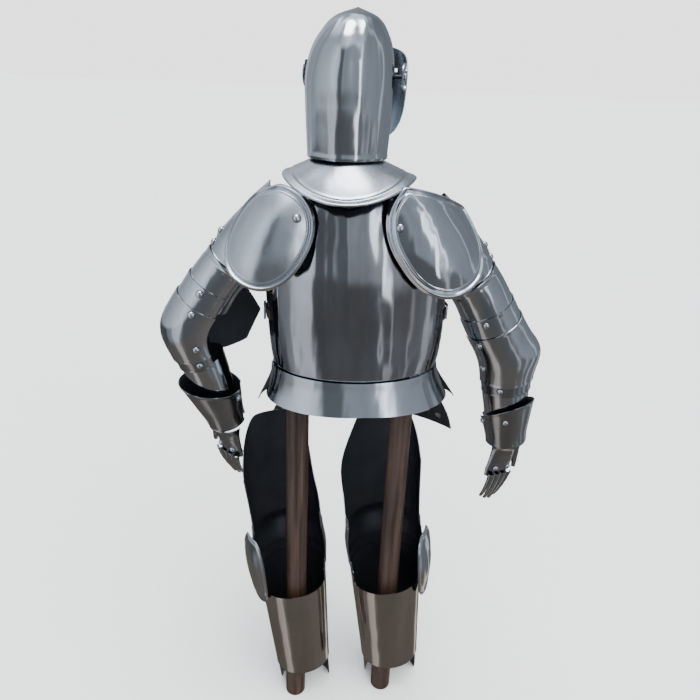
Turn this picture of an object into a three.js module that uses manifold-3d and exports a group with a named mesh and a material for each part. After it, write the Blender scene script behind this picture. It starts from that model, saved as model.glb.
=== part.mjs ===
// A suit of plate armour on a wooden stand, in millimetres, +Z up, its front facing -Y.
// Each plate is a thin steel wall over a section table: a few heights, with the half width (a), half
// depth (b) and centre (x, y) of the section there. "Left" and "right" are the wearer's own.

import * as THREE from "three";
import { mergeVertices } from "three/addons/utils/BufferGeometryUtils.js";
import Module from "manifold-3d";

const wasm = await Module();
wasm.setup();

// Sheet, seams and fastenings
const WALL = 2;
const SEAM = 0.3;
const LAP = 2.6;
const RIVET_RADIUS = 8;
const RIVET_HEIGHT = 6;
const RIM_HEIGHT = 5;

// Head and neck
const HEAD = { x: 26, y: -8, yaw: -18 };
const SKULL_HEM = 1512;
const SKULL_TOP = 1789;
const HEAD_BLOCK = { low: 1570, high: SKULL_TOP - WALL - 0.6, inset: 11, layers: 6, sides: 16 };
const FACE_TOP = 1690;
const FACE_HALF_ANGLE = 40;
const VISOR = { axisY: -42, axisZ: 1668, halfWidth: 103, radius: 106, chin: 26, top: 35, bottom: -72 };
const BOLT = { shank: 4, head: 8, inner: 81.1 };
const NECK = { x: 21, y: 0, yaw: -10, rimSide: 1478, rimDip: 41, seat: 1504, tubeX: 5, tubeY: -6 };

// Torso
const WAIST = 1040;
const FLANGE = { top: 1057, back: 984, side: 976, front: 956 };

// Stand
const POST = { radius: 27.5, spread: 126, y: 12 };
const HIP_BOARD = { low: 1046, high: 1072 };
const SHOULDER_BAR = { low: 1384, high: 1412, depth: 56, left: 236, right: -234 };
const UPRIGHT = { width: 70, depth: 50 };

// Legs: each stands on its own foot point and leans the same way
const LEG = { lean: 5.6, left: [94, -21], right: [-163, -25] };

// Arms, by the middle of the section at the neck end, the shoulder, the elbow and the wrist
const ARMS = {
  left: { neck: [150, 0, 1390], shoulder: [286, 0, 1279], elbow: [370, -10, 1138], wrist: [297, -55, 867] },
  right: { neck: [-120, 0, 1385], shoulder: [-276, 0, 1250], elbow: [-375, -10, 1067], wrist: [-413, -20, 819] },
};
const ARM_BEND = 60;
const ARM_STEP = 18;
const SHOULDER_REACH = 168;
const ARM_GIRTH = { left: 0.95, right: 1.06 };
const COUTER_BULGE = { left: 9, right: 16 };
const ARM_OPENING = {
  left: { upper: [-144, 180], elbow: [-108, 126], fore: [-180, 144], cuff: [-162, 162] },
  right: { upper: [-126, 198], elbow: [-108, 180], fore: [-144, 198], cuff: [-144, 180] },
};
// Rivets by angle and height above the elbow; a cuff's are above the wrist.
const ARM_RIVETS = {
  left: { lame: [[70, 102]], cop: [[78, 54], [102, -30]], lower: [[96, -76]], cuff: [[152, 77]] },
  right: { lame: [[111, 124]], cop: [[142, 72], [159, -15]], lower: [[120, -76]], cuff: [[107, 86], [172, 70]] },
};
// A cuff's rim: its middle height above the wrist, how far it waves and where it is highest.
const CUFF_RIM = {
  left: { height: 120, wave: 26, highest: 0, flare: 1 },
  right: { height: 97, wave: 33, highest: 61, flare: 0.75 },
};
const ELBOW_TOP = { left: { cop: 66, lame: 116 }, right: { cop: 88, lame: 138 } };
const PAULDRON = {
  left: {
    width: 168, length: 216, cuts: [[132, 98]], peg: [-16, 48], rivet: [38, 62],
    place: { at: [192, 112, 1368], azimuth: 20, lift: 20, turn: -24 },
  },
  right: {
    width: 200, length: 258, cuts: [[45, 83]], peg: [62, -4], rivet: [-65, 67],
    place: { at: [-156, 112, 1372], azimuth: -20, lift: 20, turn: 30 },
  },
};
const ELBOW_WING = {
  left: {
    width: 144, length: 206, cuts: [[84, 92], [138, 74]], peg: [37, -47],
    place: { at: [304, -98, 1122], azimuth: 180, lift: 0, turn: 67 },
  },
  right: {
    width: 110, length: 120, cuts: [[90, 56]], peg: [24, 10],
    place: { at: [-390, -110, 1060], azimuth: 180, lift: 0, turn: 0 },
  },
};
const HANDS = {
  left: { knuckle: [290, -97, 726], turn: 50 },
  right: { knuckle: [-405, -26, 727], turn: 70 },
};
const FINGER = { pitch: 19, length: 104 };
const LEG_GIRTH = { left: 0.96, right: 1.04 };
const KNEE_WING = {
  width: 118, length: 218, cuts: [[90, 103]], azimuth: 62, left: [94, 28, 463], right: [105, 28, 440],
};
// The thigh plate's top falls away to each side: by how much, and from and over how many degrees.
const THIGH_TOP = {
  left: { inner: [250, 24, 76], outer: [140, 30, 68] },
  right: { inner: [260, 8, 82], outer: [110, 50, 50] },
};
const THIGH_SWELL = { left: -4, right: 9 };

const SIDES = ["left", "right"];
const OUTWARD = { left: 1, right: -1 };

const steel = (shade) => {
  return new THREE.MeshStandardMaterial({ color: shade, roughness: 0.25, metalness: 1 });
};
const STEEL = steel(0x9aa3ad);
const SATIN = steel(0xb4bac0);
const DARK = steel(0x6f7479);
const WOOD = new THREE.MeshStandardMaterial({ color: 0x50372a, roughness: 0.7, metalness: 0 });
const LEATHER = new THREE.MeshStandardMaterial({ color: 0x241c18, roughness: 0.6, metalness: 0 });

const BACK = new THREE.Vector3(0, 1, 0);

const suit = new THREE.Group();

// Small mathematics

const mix = (from, to, t) => from + (to - from) * t;
const clamp = (t) => Math.min(1, Math.max(0, t));
const ease = (t) => clamp(t) ** 2 * (3 - 2 * clamp(t));
const steps = (count) => Array.from({ length: count + 1 }, (_, i) => i / count);
const hump = (value, centre, width) => Math.exp(-(((value - centre) / width) ** 2));
const cos = (degrees) => Math.cos(THREE.MathUtils.degToRad(degrees));
const sin = (degrees) => Math.sin(THREE.MathUtils.degToRad(degrees));

// A section table read on a smooth curve: the first column is the key.
function profile(columns, rows) {
  const slope = (c, i) => {
    const before = rows[Math.max(0, i - 1)];
    const after = rows[Math.min(rows.length - 1, i + 1)];
    return (after[c] - before[c]) / (after[0] - before[0]);
  };
  return (key) => {
    let i = 0;
    while (i < rows.length - 2 && key > rows[i + 1][0]) i += 1;
    const span = rows[i + 1][0] - rows[i][0];
    const t = clamp((key - rows[i][0]) / span);
    const found = {};
    columns.forEach((name, c) => {
      const leave = slope(c, i) * span;
      const arrive = slope(c, i + 1) * span;
      const a = 2 * (rows[i][c] - rows[i + 1][c]) + leave + arrive;
      const b = 3 * (rows[i + 1][c] - rows[i][c]) - 2 * leave - arrive;
      found[name] = ((a * t + b) * t + leave) * t + rows[i][c];
    });
    return found;
  };
}

// Solids

// The closed body of a triangle list, its faces pointing out.
function closed(points, faces) {
  const position = new Float32Array(points.flatMap((p) => [p.x, p.y, p.z]));
  const loose = new THREE.BufferGeometry();
  loose.setAttribute("position", new THREE.BufferAttribute(position, 3));
  loose.setIndex(faces.flat());
  const merged = mergeVertices(loose, 1e-3);
  const index = [];
  let volume = 0;
  const corner = (i) => new THREE.Vector3().fromBufferAttribute(merged.attributes.position, i);
  for (let i = 0; i < merged.index.count; i += 3) {
    const [a, b, c] = [0, 1, 2].map((k) => merged.index.getX(i + k));
    if (a === b || b === c || c === a) continue;
    index.push([a, b, c]);
    volume += corner(a).dot(corner(b).cross(corner(c)));
  }
  merged.setIndex(index.map((face) => (volume < 0 ? face.reverse() : face)).flat());
  return merged;
}

// The normal of a surface of two parameters, pointing to its outer side.
function normalAt(surface, u, v, facing) {
  const e = 1e-3;
  const w = Math.min(v, 0.97);
  const across = surface(u + e, w).sub(surface(u - e, w));
  const along = surface(u, w + e).sub(surface(u, w - e));
  return across.cross(along).normalize().multiplyScalar(facing);
}

// A wall under an outer surface; a ring closes on itself across.
function sheet({ surface, us, vs, ring = false, facing = 1, wall = WALL, pole = false }) {
  const columns = ring ? us.length - 1 : us.length;
  const points = [];
  const inner = [];
  for (let i = 0; i < columns; i += 1) {
    vs.forEach((v, j) => {
      const at = surface(us[i], v);
      points.push(at);
      const last = pole && j === vs.length - 1;
      const normal = last ? new THREE.Vector3(0, 0, 1) : normalAt(surface, us[i], v, facing);
      inner.push(at.clone().addScaledVector(normal, -wall));
    });
  }
  const rows = vs.length;
  const count = points.length;
  const at = (i, j, layer) => (i % columns) * rows + j + layer * count;
  const faces = [];
  const quad = (a, b, c, d) => faces.push([a, b, c], [a, c, d]);
  const spans = ring ? columns : columns - 1;
  for (let i = 0; i < spans; i += 1) {
    for (let j = 0; j < rows - 1; j += 1) {
      quad(at(i, j, 0), at(i + 1, j, 0), at(i + 1, j + 1, 0), at(i, j + 1, 0));
      quad(at(i, j, 1), at(i, j + 1, 1), at(i + 1, j + 1, 1), at(i + 1, j, 1));
    }
    quad(at(i, 0, 0), at(i, 0, 1), at(i + 1, 0, 1), at(i + 1, 0, 0));
    quad(at(i, rows - 1, 0), at(i + 1, rows - 1, 0), at(i + 1, rows - 1, 1), at(i, rows - 1, 1));
  }
  if (!ring) {
    for (let j = 0; j < rows - 1; j += 1) {
      quad(at(0, j, 0), at(0, j + 1, 0), at(0, j + 1, 1), at(0, j, 1));
      const i = columns - 1;
      quad(at(i, j, 0), at(i, j, 1), at(i, j + 1, 1), at(i, j + 1, 0));
    }
  }
  return closed([...points, ...inner], faces);
}

// The outer surface of a plate round a limb: angle 0 is outward, 90 the back, 180 inward.
// frame(key) gives the middle of the section there, its outward and its backward direction.
function barrel({ shape, from, to, low, high, out = 0, side = 1, byPart, relief, frame }) {
  const edge = (limit, angle) => (typeof limit === "function" ? limit(angle) : limit);
  const upright = (z) => {
    return { middle: new THREE.Vector3(0, 0, z), outward: new THREE.Vector3(side, 0, 0), back: BACK };
  };
  const frameAt = frame ?? upright;
  const surface = (u, v) => {
    const angle = mix(from, to, u);
    const [bottom, top] = [edge(low, angle), edge(high, angle)];
    const s = shape(byPart ? v : mix(bottom, top, v));
    const key = mix(bottom, top, s.rise ?? v);
    const r = out + (relief ? relief(angle, key) : 0);
    const { middle, outward, back } = frameAt(key);
    return middle.clone()
      .addScaledVector(outward, (s.x ?? 0) + (s.a + r) * cos(angle))
      .addScaledVector(back, (s.y ?? 0) + (s.b + r) * sin(angle));
  };
  const place = (angle, key) => {
    const part = (key - edge(low, angle)) / (edge(high, angle) - edge(low, angle));
    return [(angle - from) / (to - from), part];
  };
  return { surface, place, facing: side };
}

// A dished plate in its own plane: outline(angle) is its reach, +Z its outer side.
function dish({ size, crown, rim = 0, bend = 0, rings, sectors, wall = WALL }) {
  const outline = tongue(size);
  const top = (p, q) => {
    const r = Math.hypot(p, q);
    const reach = outline(THREE.MathUtils.radToDeg(Math.atan2(q, p)));
    const x = p * reach;
    const y = q * reach;
    const fall = (2 * x / size.width) ** 2 + (2 * y / size.length) ** 2;
    const z = crown * (1 - fall) + rim * hump(r, 0.95, 0.045) - bend * x * x;
    return new THREE.Vector3(x, y, z);
  };
  const e = 1e-3;
  const normal = (p, q) => {
    const across = top(p + e, q).sub(top(p - e, q));
    return across.cross(top(p, q + e).sub(top(p, q - e))).normalize();
  };
  const points = [];
  const inner = [];
  const push = (p, q) => {
    points.push(top(p, q));
    inner.push(top(p, q).addScaledVector(normal(p, q), -wall));
  };
  push(0, 0);
  rings.forEach((r) => sectors.forEach((angle) => push(r * cos(angle), r * sin(angle))));
  const n = sectors.length;
  const count = points.length;
  const at = (k, i, layer) => (k === 0 ? 0 : 1 + (k - 1) * n + (i % n)) + layer * count;
  const faces = [];
  for (let i = 0; i < n; i += 1) {
    faces.push([0, at(1, i, 0), at(1, i + 1, 0)]);
    faces.push([count, at(1, i + 1, 1), at(1, i, 1)]);
    for (let k = 1; k < rings.length; k += 1) {
      const [a, b, c, d] = [at(k, i, 0), at(k + 1, i, 0), at(k + 1, i + 1, 0), at(k, i + 1, 0)];
      faces.push([a, b, c], [a, c, d]);
      faces.push([a + count, c + count, b + count], [a + count, d + count, c + count]);
    }
    const [a, b] = [at(rings.length, i, 0), at(rings.length, i + 1, 0)];
    faces.push([a, a + count, b + count], [a, b + count, b]);
  }
  return { geometry: closed([...points, ...inner], faces), top, normal };
}

function solid(geometry) {
  const bare = new THREE.BufferGeometry();
  bare.setAttribute("position", geometry.getAttribute("position"));
  if (geometry.index) bare.setIndex(geometry.index);
  const merged = mergeVertices(bare, 1e-4);
  const vertProperties = merged.attributes.position.array;
  const triVerts = new Uint32Array(merged.index.array);
  return new wasm.Manifold(new wasm.Mesh({ numProp: 3, vertProperties, triVerts }));
}

function geometryOf(manifold) {
  const mesh = manifold.getMesh();
  const geometry = new THREE.BufferGeometry();
  geometry.setAttribute("position", new THREE.BufferAttribute(mesh.vertProperties, 3));
  geometry.setIndex(new THREE.BufferAttribute(mesh.triVerts, 1));
  return geometry;
}

// A domed rivet head on a plate, its foot sunk half a wall deep.
function rivetHead(at, normal, radius = RIVET_RADIUS) {
  const foot = -0.8 * WALL;
  const points = [[0, foot], [radius, foot], [radius * 0.75, RIVET_HEIGHT * 0.75], [0, RIVET_HEIGHT]];
  const head = new THREE.LatheGeometry(points.map(([r, h]) => new THREE.Vector2(r, h)), 7);
  const turn = new THREE.Quaternion().setFromUnitVectors(new THREE.Vector3(0, 1, 0), normal);
  return head.applyQuaternion(turn).translate(at.x, at.y, at.z);
}

// The largest body left by a cut.
function largest(manifold) {
  return manifold.decompose().sort((a, b) => b.volume() - a.volume())[0];
}

function joined(base, heads) {
  if (heads.length === 0) return base;
  return geometryOf(heads.reduce((body, head) => body.add(solid(head)), solid(base)));
}

function add(parent, name, geometry, material) {
  const mesh = new THREE.Mesh(geometry, material);
  mesh.name = name;
  parent.add(mesh);
  return mesh;
}

// One plate round a limb with its rivets, given by angle and height.
function addPlate(parent, name, material, spec) {
  const shell = barrel(spec);
  const base = sheet({ ...shell, us: spec.us, vs: spec.vs, ring: spec.ring, pole: spec.pole });
  const heads = (spec.rivets ?? []).map(([angle, z]) => {
    const [u, v] = shell.place(angle, z);
    return rivetHead(shell.surface(u, v), normalAt(shell.surface, u, v, shell.facing));
  });
  return add(parent, name, joined(base, heads), material);
}

// The grown wall of a plate, to cut what is seated on it a seam's width away.
function grown(spec, by = SEAM + 0.1) {
  const wider = (limit, more) => (typeof limit === "function" ? (angle) => limit(angle) + more : limit + more);
  const span = { from: spec.from - by, to: spec.to + by, low: wider(spec.low, -by), high: wider(spec.high, by) };
  const shell = barrel({ ...spec, ...span, out: (spec.out ?? 0) + by });
  const wall = WALL + 2 * by;
  return solid(sheet({ ...shell, us: spec.us, vs: spec.vs, ring: spec.ring, pole: spec.pole, wall }));
}

// A group whose +Z looks along a plate's normal and whose +Y is turned from upright.
function facingGroup(parent, { at, azimuth, lift, turn = 0 }) {
  const group = new THREE.Group();
  const normal = new THREE.Vector3(sin(azimuth) * cos(lift), cos(azimuth) * cos(lift), sin(lift));
  const right = new THREE.Vector3(0, 0, 1).cross(normal).normalize();
  const up = normal.clone().cross(right);
  const x = right.clone().multiplyScalar(cos(turn)).addScaledVector(up, sin(turn));
  const y = up.clone().multiplyScalar(cos(turn)).addScaledVector(right, -sin(turn));
  group.quaternion.setFromRotationMatrix(new THREE.Matrix4().makeBasis(x, y, normal));
  group.position.set(...at);
  parent.add(group);
  return group;
}

// A solid block filling a section table between two heights.
function block({ shape, low, high, inset = 0, layers = 1, sides = 24 }) {
  const points = [];
  const heights = steps(layers).map((t) => mix(low, high, t));
  heights.forEach((z) => {
    const s = shape(z);
    for (let i = 0; i < sides; i += 1) {
      const angle = (360 * i) / sides;
      const x = (s.x ?? 0) + Math.max(0.5, s.a - inset) * cos(angle);
      const y = (s.y ?? 0) + Math.max(0.5, s.b - inset) * sin(angle);
      points.push(new THREE.Vector3(x, y, z));
    }
  });
  const faces = [];
  for (let k = 0; k < layers; k += 1) {
    for (let i = 0; i < sides; i += 1) {
      const j = (i + 1) % sides;
      const [a, b, c, d] = [k * sides + i, k * sides + j, (k + 1) * sides + j, (k + 1) * sides + i];
      faces.push([a, b, c], [a, c, d]);
    }
  }
  const end = layers * sides;
  for (let i = 1; i < sides - 1; i += 1) {
    faces.push([0, i + 1, i]);
    faces.push([end, end + i, end + i + 1]);
  }
  return closed(points, faces);
}

// Helmet and visor

const SKULL = profile(["z", "a", "b", "x", "y"], [
  [SKULL_HEM, 82, 95, 0, 0],
  [1565, 85, 100, 0, 0],
  [1612, 87, 105, 0, 0],
  [1664, 88, 108, 0, 0],
  [1708, 81, 100, -2, -2],
  [1740, 68, 84, -5, -5],
  [1772, 42, 52, -8, -9],
  [SKULL_TOP, 0, 0, -9, -10],
]);

// The skull's lower edge: level at the back and sides, arched over the face.
function skullHem(angle) {
  const fromFront = Math.min(angle + 90, 270 - angle);
  return mix(FACE_TOP, SKULL_HEM, ease((fromFront - FACE_HALF_ANGLE) / 14));
}

function makeHelmet() {
  const head = new THREE.Group();
  head.position.set(HEAD.x, HEAD.y, 0);
  head.rotation.z = THREE.MathUtils.degToRad(HEAD.yaw);
  suit.add(head);
  addPlate(head, "helmet_skull", STEEL, {
    shape: SKULL, from: -90, to: 270, low: skullHem, high: SKULL_TOP, ring: true, pole: true,
    relief: (angle, z) => 2.5 * hump(angle, 90, 14) * ease((SKULL_TOP - z) / 40),
    us: steps(24), vs: [0, 0.22, 0.44, 0.62, 0.78, 0.9, 0.97, 1],
  });
  makeVisor(head);
  add(head, "head_block", block({ shape: SKULL, ...HEAD_BLOCK }), WOOD);
}

// The visor is turned about the bolts, so it clears the skull as it lifts.
function visorSurface(u, v) {
  const turn = mix(3, 177, u);
  const tilt = mix(VISOR.bottom, VISOR.top, v);
  const power = 2 / 3.4;
  const x = VISOR.halfWidth * Math.sign(cos(turn)) * Math.abs(cos(turn)) ** power;
  const chin = VISOR.chin * ease(-tilt / 70);
  const keel = 14 * hump(x, 0, 22) * hump(tilt, -18, 34);
  const r = (VISOR.radius + chin) * sin(turn) ** power + keel;
  return new THREE.Vector3(x, VISOR.axisY - r * cos(tilt), VISOR.axisZ + r * sin(tilt));
}

function makeVisor(head) {
  const base = sheet({ surface: visorSurface, us: steps(14), vs: steps(5) });
  let body = solid(base);
  [-1, 1].forEach((side) => {
    const lug = new THREE.CylinderGeometry(27, 27, WALL, 12).rotateZ(Math.PI / 2);
    lug.translate(side * (VISOR.halfWidth - WALL / 2), VISOR.axisY, VISOR.axisZ);
    body = body.add(solid(lug));
    const slit = new THREE.BoxGeometry(62, 80, 7);
    slit.translate(side * 43, VISOR.axisY - 100, VISOR.axisZ + 14);
    body = body.subtract(solid(slit));
    for (let k = 0; k < 4; k += 1) {
      const breath = new THREE.CylinderGeometry(4, 4, 90, 6);
      const across = side * (32 + 18 * (k % 2));
      breath.translate(across, VISOR.axisY - 100, VISOR.axisZ - 40 - 20 * Math.floor(k / 2));
      body = body.subtract(solid(breath));
    }
  });
  const bore = new THREE.CylinderGeometry(BOLT.shank + SEAM, BOLT.shank + SEAM, 300, 12).rotateZ(Math.PI / 2);
  bore.translate(0, VISOR.axisY, VISOR.axisZ);
  add(head, "visor", geometryOf(body.subtract(solid(bore))), DARK);
  SIDES.forEach((side) => {
    const reach = VISOR.halfWidth + SEAM;
    const { shank, head: wide, inner } = BOLT;
    const section = [[0, inner], [shank, inner], [shank, reach], [wide, reach], [wide * 0.7, reach + 5]];
    section.push([0, reach + 6.5]);
    const bolt = new THREE.LatheGeometry(section.map(([r, h]) => new THREE.Vector2(r, h)), 12);
    bolt.rotateZ(-OUTWARD[side] * Math.PI / 2);
    bolt.translate(0, VISOR.axisY, VISOR.axisZ);
    add(head, `visor_bolt_${side}`, bolt, STEEL);
  });
}

// Gorget: a neck tube that flares into a cape with a rolled rim

const SEAT_PART = 0.55;
const GORGET = profile(["part", "a", "b", "rise", "x", "y"], [
  [0, 139, 150, 0, 0, 0],
  [0.5, 113, 123, 0.28, 2, -2],
  [0.78, 83, 94, SEAT_PART, NECK.tubeX, NECK.tubeY],
  [0.87, 73, 81, 0.66, NECK.tubeX, NECK.tubeY],
  [1, 69, 75, 1, NECK.tubeX, NECK.tubeY],
]);

function makeGorget() {
  const neck = new THREE.Group();
  neck.position.set(NECK.x, NECK.y, 0);
  neck.rotation.z = THREE.MathUtils.degToRad(NECK.yaw);
  suit.add(neck);
  const rim = (angle) => NECK.rimSide - NECK.rimDip * sin(angle) ** 2;
  // The cape passes under the helmet's hem at one level all round.
  const top = (angle) => rim(angle) + (NECK.seat - rim(angle)) / SEAT_PART;
  const gap = 0.07;
  const halves = { gorget_back: [gap, 180 - gap], gorget_front: [180 + gap, 360 - gap] };
  Object.entries(halves).forEach(([name, [from, to]]) => {
    addPlate(neck, name, SATIN, {
      shape: GORGET, from, to, low: rim, high: top, byPart: true,
      us: steps(12), vs: [0, 0.035, 0.09, 0.4, 0.74, 0.87, 1],
      relief: (angle, z) => RIM_HEIGHT * hump(z - rim(angle), 2, 3),
    });
  });
}

// Torso

const TORSO = profile(["z", "a", "b", "x", "y"], [
  [WAIST, 186, 126, -8, 5],
  [1100, 196, 130, -8, 5],
  [1200, 201, 133, -5, 5],
  [1300, 199, 132, 2, 4],
  [1380, 176, 118, 10, 2],
  [1450, 138, 92, 18, 0],
  [1490, 104, 76, 22, 0],
]);

function makeTorso() {
  // The upper edge: low under the arms, high at the shoulders, dipped at the neck.
  const brim = (angle) => {
    const off = Math.abs((((angle % 180) + 180) % 180) - 90);
    return mix(1452, 1236, ease((off - 42) / 26)) - 8 * hump(off, 0, 20);
  };
  const gap = 0.07;
  addPlate(suit, "backplate", STEEL, {
    shape: TORSO, from: gap, to: 180 - gap, low: WAIST, high: brim,
    us: steps(20), vs: steps(6),
  });
  addPlate(suit, "breastplate", STEEL, {
    shape: TORSO, from: 180 + gap, to: 360 - gap, low: WAIST, high: brim,
    relief: (angle, z) => 26 * hump(angle, 270, 34) * hump(z, 1190, 130) * ease((z - 1080) / 50),
    us: steps(20), vs: [0, 0.1, 0.3, 0.5, 0.75, 1],
  });
}

const SKIRT = profile(["z", "a", "b", "x", "y"], [
  [780, 285, 205, -18, 0],
  [950, 222, 156, -19, 3],
  [990, 206, 144, -15, 4],
  [1030, 193, 133, -10, 5],
  [FLANGE.top, 188.8, 128.2, -8, 5],
]);

// The ends of the front band stand out from the back band as pointed corners.
function cornerFlare(angle, z) {
  return 16 * ease((FLANGE.top - z) / 110) * (hump(angle, 180, 24) + hump(angle, 360, 24));
}

function makeFlange() {
  const hem = (angle) => mix(FLANGE.back, FLANGE.side, Math.abs(cos(angle)));
  addPlate(suit, "waist_flange_side", STEEL, {
    shape: SKIRT, from: 126, to: 179.7, low: hem, high: FLANGE.top, out: LAP,
    us: steps(6), vs: steps(2),
  });
  addPlate(suit, "waist_flange_back", SATIN, {
    shape: SKIRT, from: 0.3, to: 135, low: hem, high: FLANGE.top, out: 2 * LAP,
    us: steps(15), vs: steps(2),
  });
  addPlate(suit, "waist_flange_front", STEEL, {
    shape: SKIRT, from: 180.3, to: 359.7, low: FLANGE.front, high: FLANGE.top, out: LAP,
    us: steps(20), vs: steps(3), relief: cornerFlare,
  });
}

const STRAP = { low: 1168, high: 1192, reach: 16, thickness: 2.4 };

// A strap and its buckle close the two halves on each flank.
function makeSideStraps() {
  SIDES.forEach((side) => {
    const middle = side === "left" ? 0 : 180;
    const band = barrel({
      shape: TORSO, from: middle - STRAP.reach, to: middle + STRAP.reach, out: STRAP.thickness + SEAM + 0.3,
      low: STRAP.low, high: STRAP.high,
    });
    const strap = solid(sheet({ ...band, us: steps(8), vs: steps(1), wall: STRAP.thickness }));
    const buckle = new THREE.BoxGeometry(8, 26, 36);
    const hole = new THREE.BoxGeometry(20, 16, 26);
    const frame = solid(buckle).subtract(solid(hole));
    const at = band.surface(0.5, 0.5);
    const body = strap.add(frame.translate([at.x + OUTWARD[side] * 2.4, at.y, at.z]));
    add(suit, `side_strap_${side}`, geometryOf(body), LEATHER);
  });
}

const TASSET = { span: 45, high: 968, corner: 800, inner: 812, left: 315, right: 207 };

function makeTassets() {
  SIDES.forEach((side) => {
    const outer = TASSET[side];
    const inward = -OUTWARD[side];
    const ends = [outer, outer + inward * TASSET.span].sort((a, b) => a - b);
    addPlate(suit, `tasset_${side}`, STEEL, {
      shape: SKIRT, from: ends[0], to: ends[1], out: 2 * LAP, high: TASSET.high,
      low: (angle) => mix(TASSET.corner, TASSET.inner, Math.abs(angle - outer) / TASSET.span),
      us: steps(5), vs: [0, 0.14, 0.5, 0.92, 1],
      relief: (angle, z) => cornerFlare(angle, z) + 22 * ease((FLANGE.front - z) / 130),
      rivets: [[outer + inward * 8, 834], [outer + inward * 24, 842]],
    });
  });
}

// Stand

function makeStand(caps) {
  SIDES.forEach((side) => {
    const height = HIP_BOARD.low - SEAM;
    const post = new THREE.CylinderGeometry(POST.radius, POST.radius, height, 20).rotateX(Math.PI / 2);
    post.translate(OUTWARD[side] * POST.spread, POST.y, height / 2);
    add(suit, `post_${side}`, post, WOOD);
  });
  add(suit, "hip_board", block({ shape: TORSO, ...HIP_BOARD, inset: WALL + 0.7, sides: 40 }), WOOD);
  const rise = SHOULDER_BAR.low - HIP_BOARD.high - 2 * SEAM;
  const upright = new THREE.BoxGeometry(UPRIGHT.width, UPRIGHT.depth, rise);
  upright.translate(10, 0, HIP_BOARD.high + SEAM + rise / 2);
  add(suit, "chest_upright", upright, WOOD);
  const length = SHOULDER_BAR.left - SHOULDER_BAR.right;
  const bar = new THREE.BoxGeometry(length, SHOULDER_BAR.depth, SHOULDER_BAR.high - SHOULDER_BAR.low);
  bar.translate((SHOULDER_BAR.left + SHOULDER_BAR.right) / 2, 0, (SHOULDER_BAR.low + SHOULDER_BAR.high) / 2);
  const cut = caps.reduce((body, cap) => body.subtract(grown(cap)), solid(bar));
  add(suit, "shoulder_bar", geometryOf(largest(cut)), WOOD);
  const low = SHOULDER_BAR.high + SEAM;
  const high = 1570 - SEAM;
  const neck = new THREE.CylinderGeometry(66.3, 66.3, high - low, 24).rotateX(Math.PI / 2);
  neck.translate(NECK.tubeX, NECK.tubeY, (low + high) / 2);
  neck.rotateZ(THREE.MathUtils.degToRad(NECK.yaw)).translate(NECK.x, NECK.y, 0);
  add(suit, "neck_block", neck, WOOD);
}

// Arms: a path from the neck end over the shoulder and the elbow to the wrist, its corners rounded.
// The key is the distance from the elbow, upwards positive.

function armPath(side) {
  const [neck, shoulder, elbow, wrist] = ["neck", "shoulder", "elbow", "wrist"].map((name) => {
    return new THREE.Vector3(...ARMS[side][name]);
  });
  const upper = shoulder.distanceTo(elbow);
  const fore = elbow.distanceTo(wrist);
  const rise = shoulder.clone().sub(elbow).normalize();
  const over = neck.clone().sub(shoulder).normalize();
  const drop = elbow.clone().sub(wrist).normalize();
  const corner = (from, at, to, t) => {
    const start = at.clone().addScaledVector(from, -ARM_BEND);
    const end = at.clone().addScaledVector(to, ARM_BEND);
    const middle = start.multiplyScalar((1 - t) ** 2).addScaledVector(at, 2 * t * (1 - t));
    return { middle: middle.addScaledVector(end, t * t), along: from.clone().lerp(to, t).normalize() };
  };
  const stretch = (at, direction, distance) => {
    return { middle: at.clone().addScaledVector(direction, distance), along: direction };
  };
  const run = (key) => {
    if (key < -ARM_BEND) return stretch(elbow, drop, key);
    if (key < ARM_BEND) return corner(drop, elbow, rise, (key + ARM_BEND) / (2 * ARM_BEND));
    if (key < upper - ARM_BEND) return stretch(elbow, rise, key);
    if (key < upper + ARM_BEND) return corner(rise, shoulder, over, (key - upper + ARM_BEND) / (2 * ARM_BEND));
    return stretch(shoulder, over, key - upper);
  };
  const frame = (key) => {
    const { middle, along } = run(key);
    const outward = new THREE.Vector3(OUTWARD[side], 0, 0).addScaledVector(along, -OUTWARD[side] * along.x);
    outward.normalize();
    const back = along.clone().cross(outward).multiplyScalar(OUTWARD[side]);
    return { middle, outward, back };
  };
  return { frame, upper, fore };
}

const ARM = profile(["part", "a", "b", "x"], [
  [-1, 46, 44, 0],
  [-0.7, 49, 48, 0],
  [-0.35, 55, 56, 0],
  [0, 60, 63, 4],
  [0.45, 61, 63, 0],
  [1, 59, 60, 0],
  [1.15, 61, 62, 0],
  [1.5, 71, 68, 0],
  [2, 80, 72, 0],
]);

const CUFF = profile(["height", "a", "b"], [
  [0, 48.7, 46.7],
  [30, 52, 50],
  [70, 61, 58],
  [110, 70, 66],
  [150, 79, 74],
]);

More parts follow.
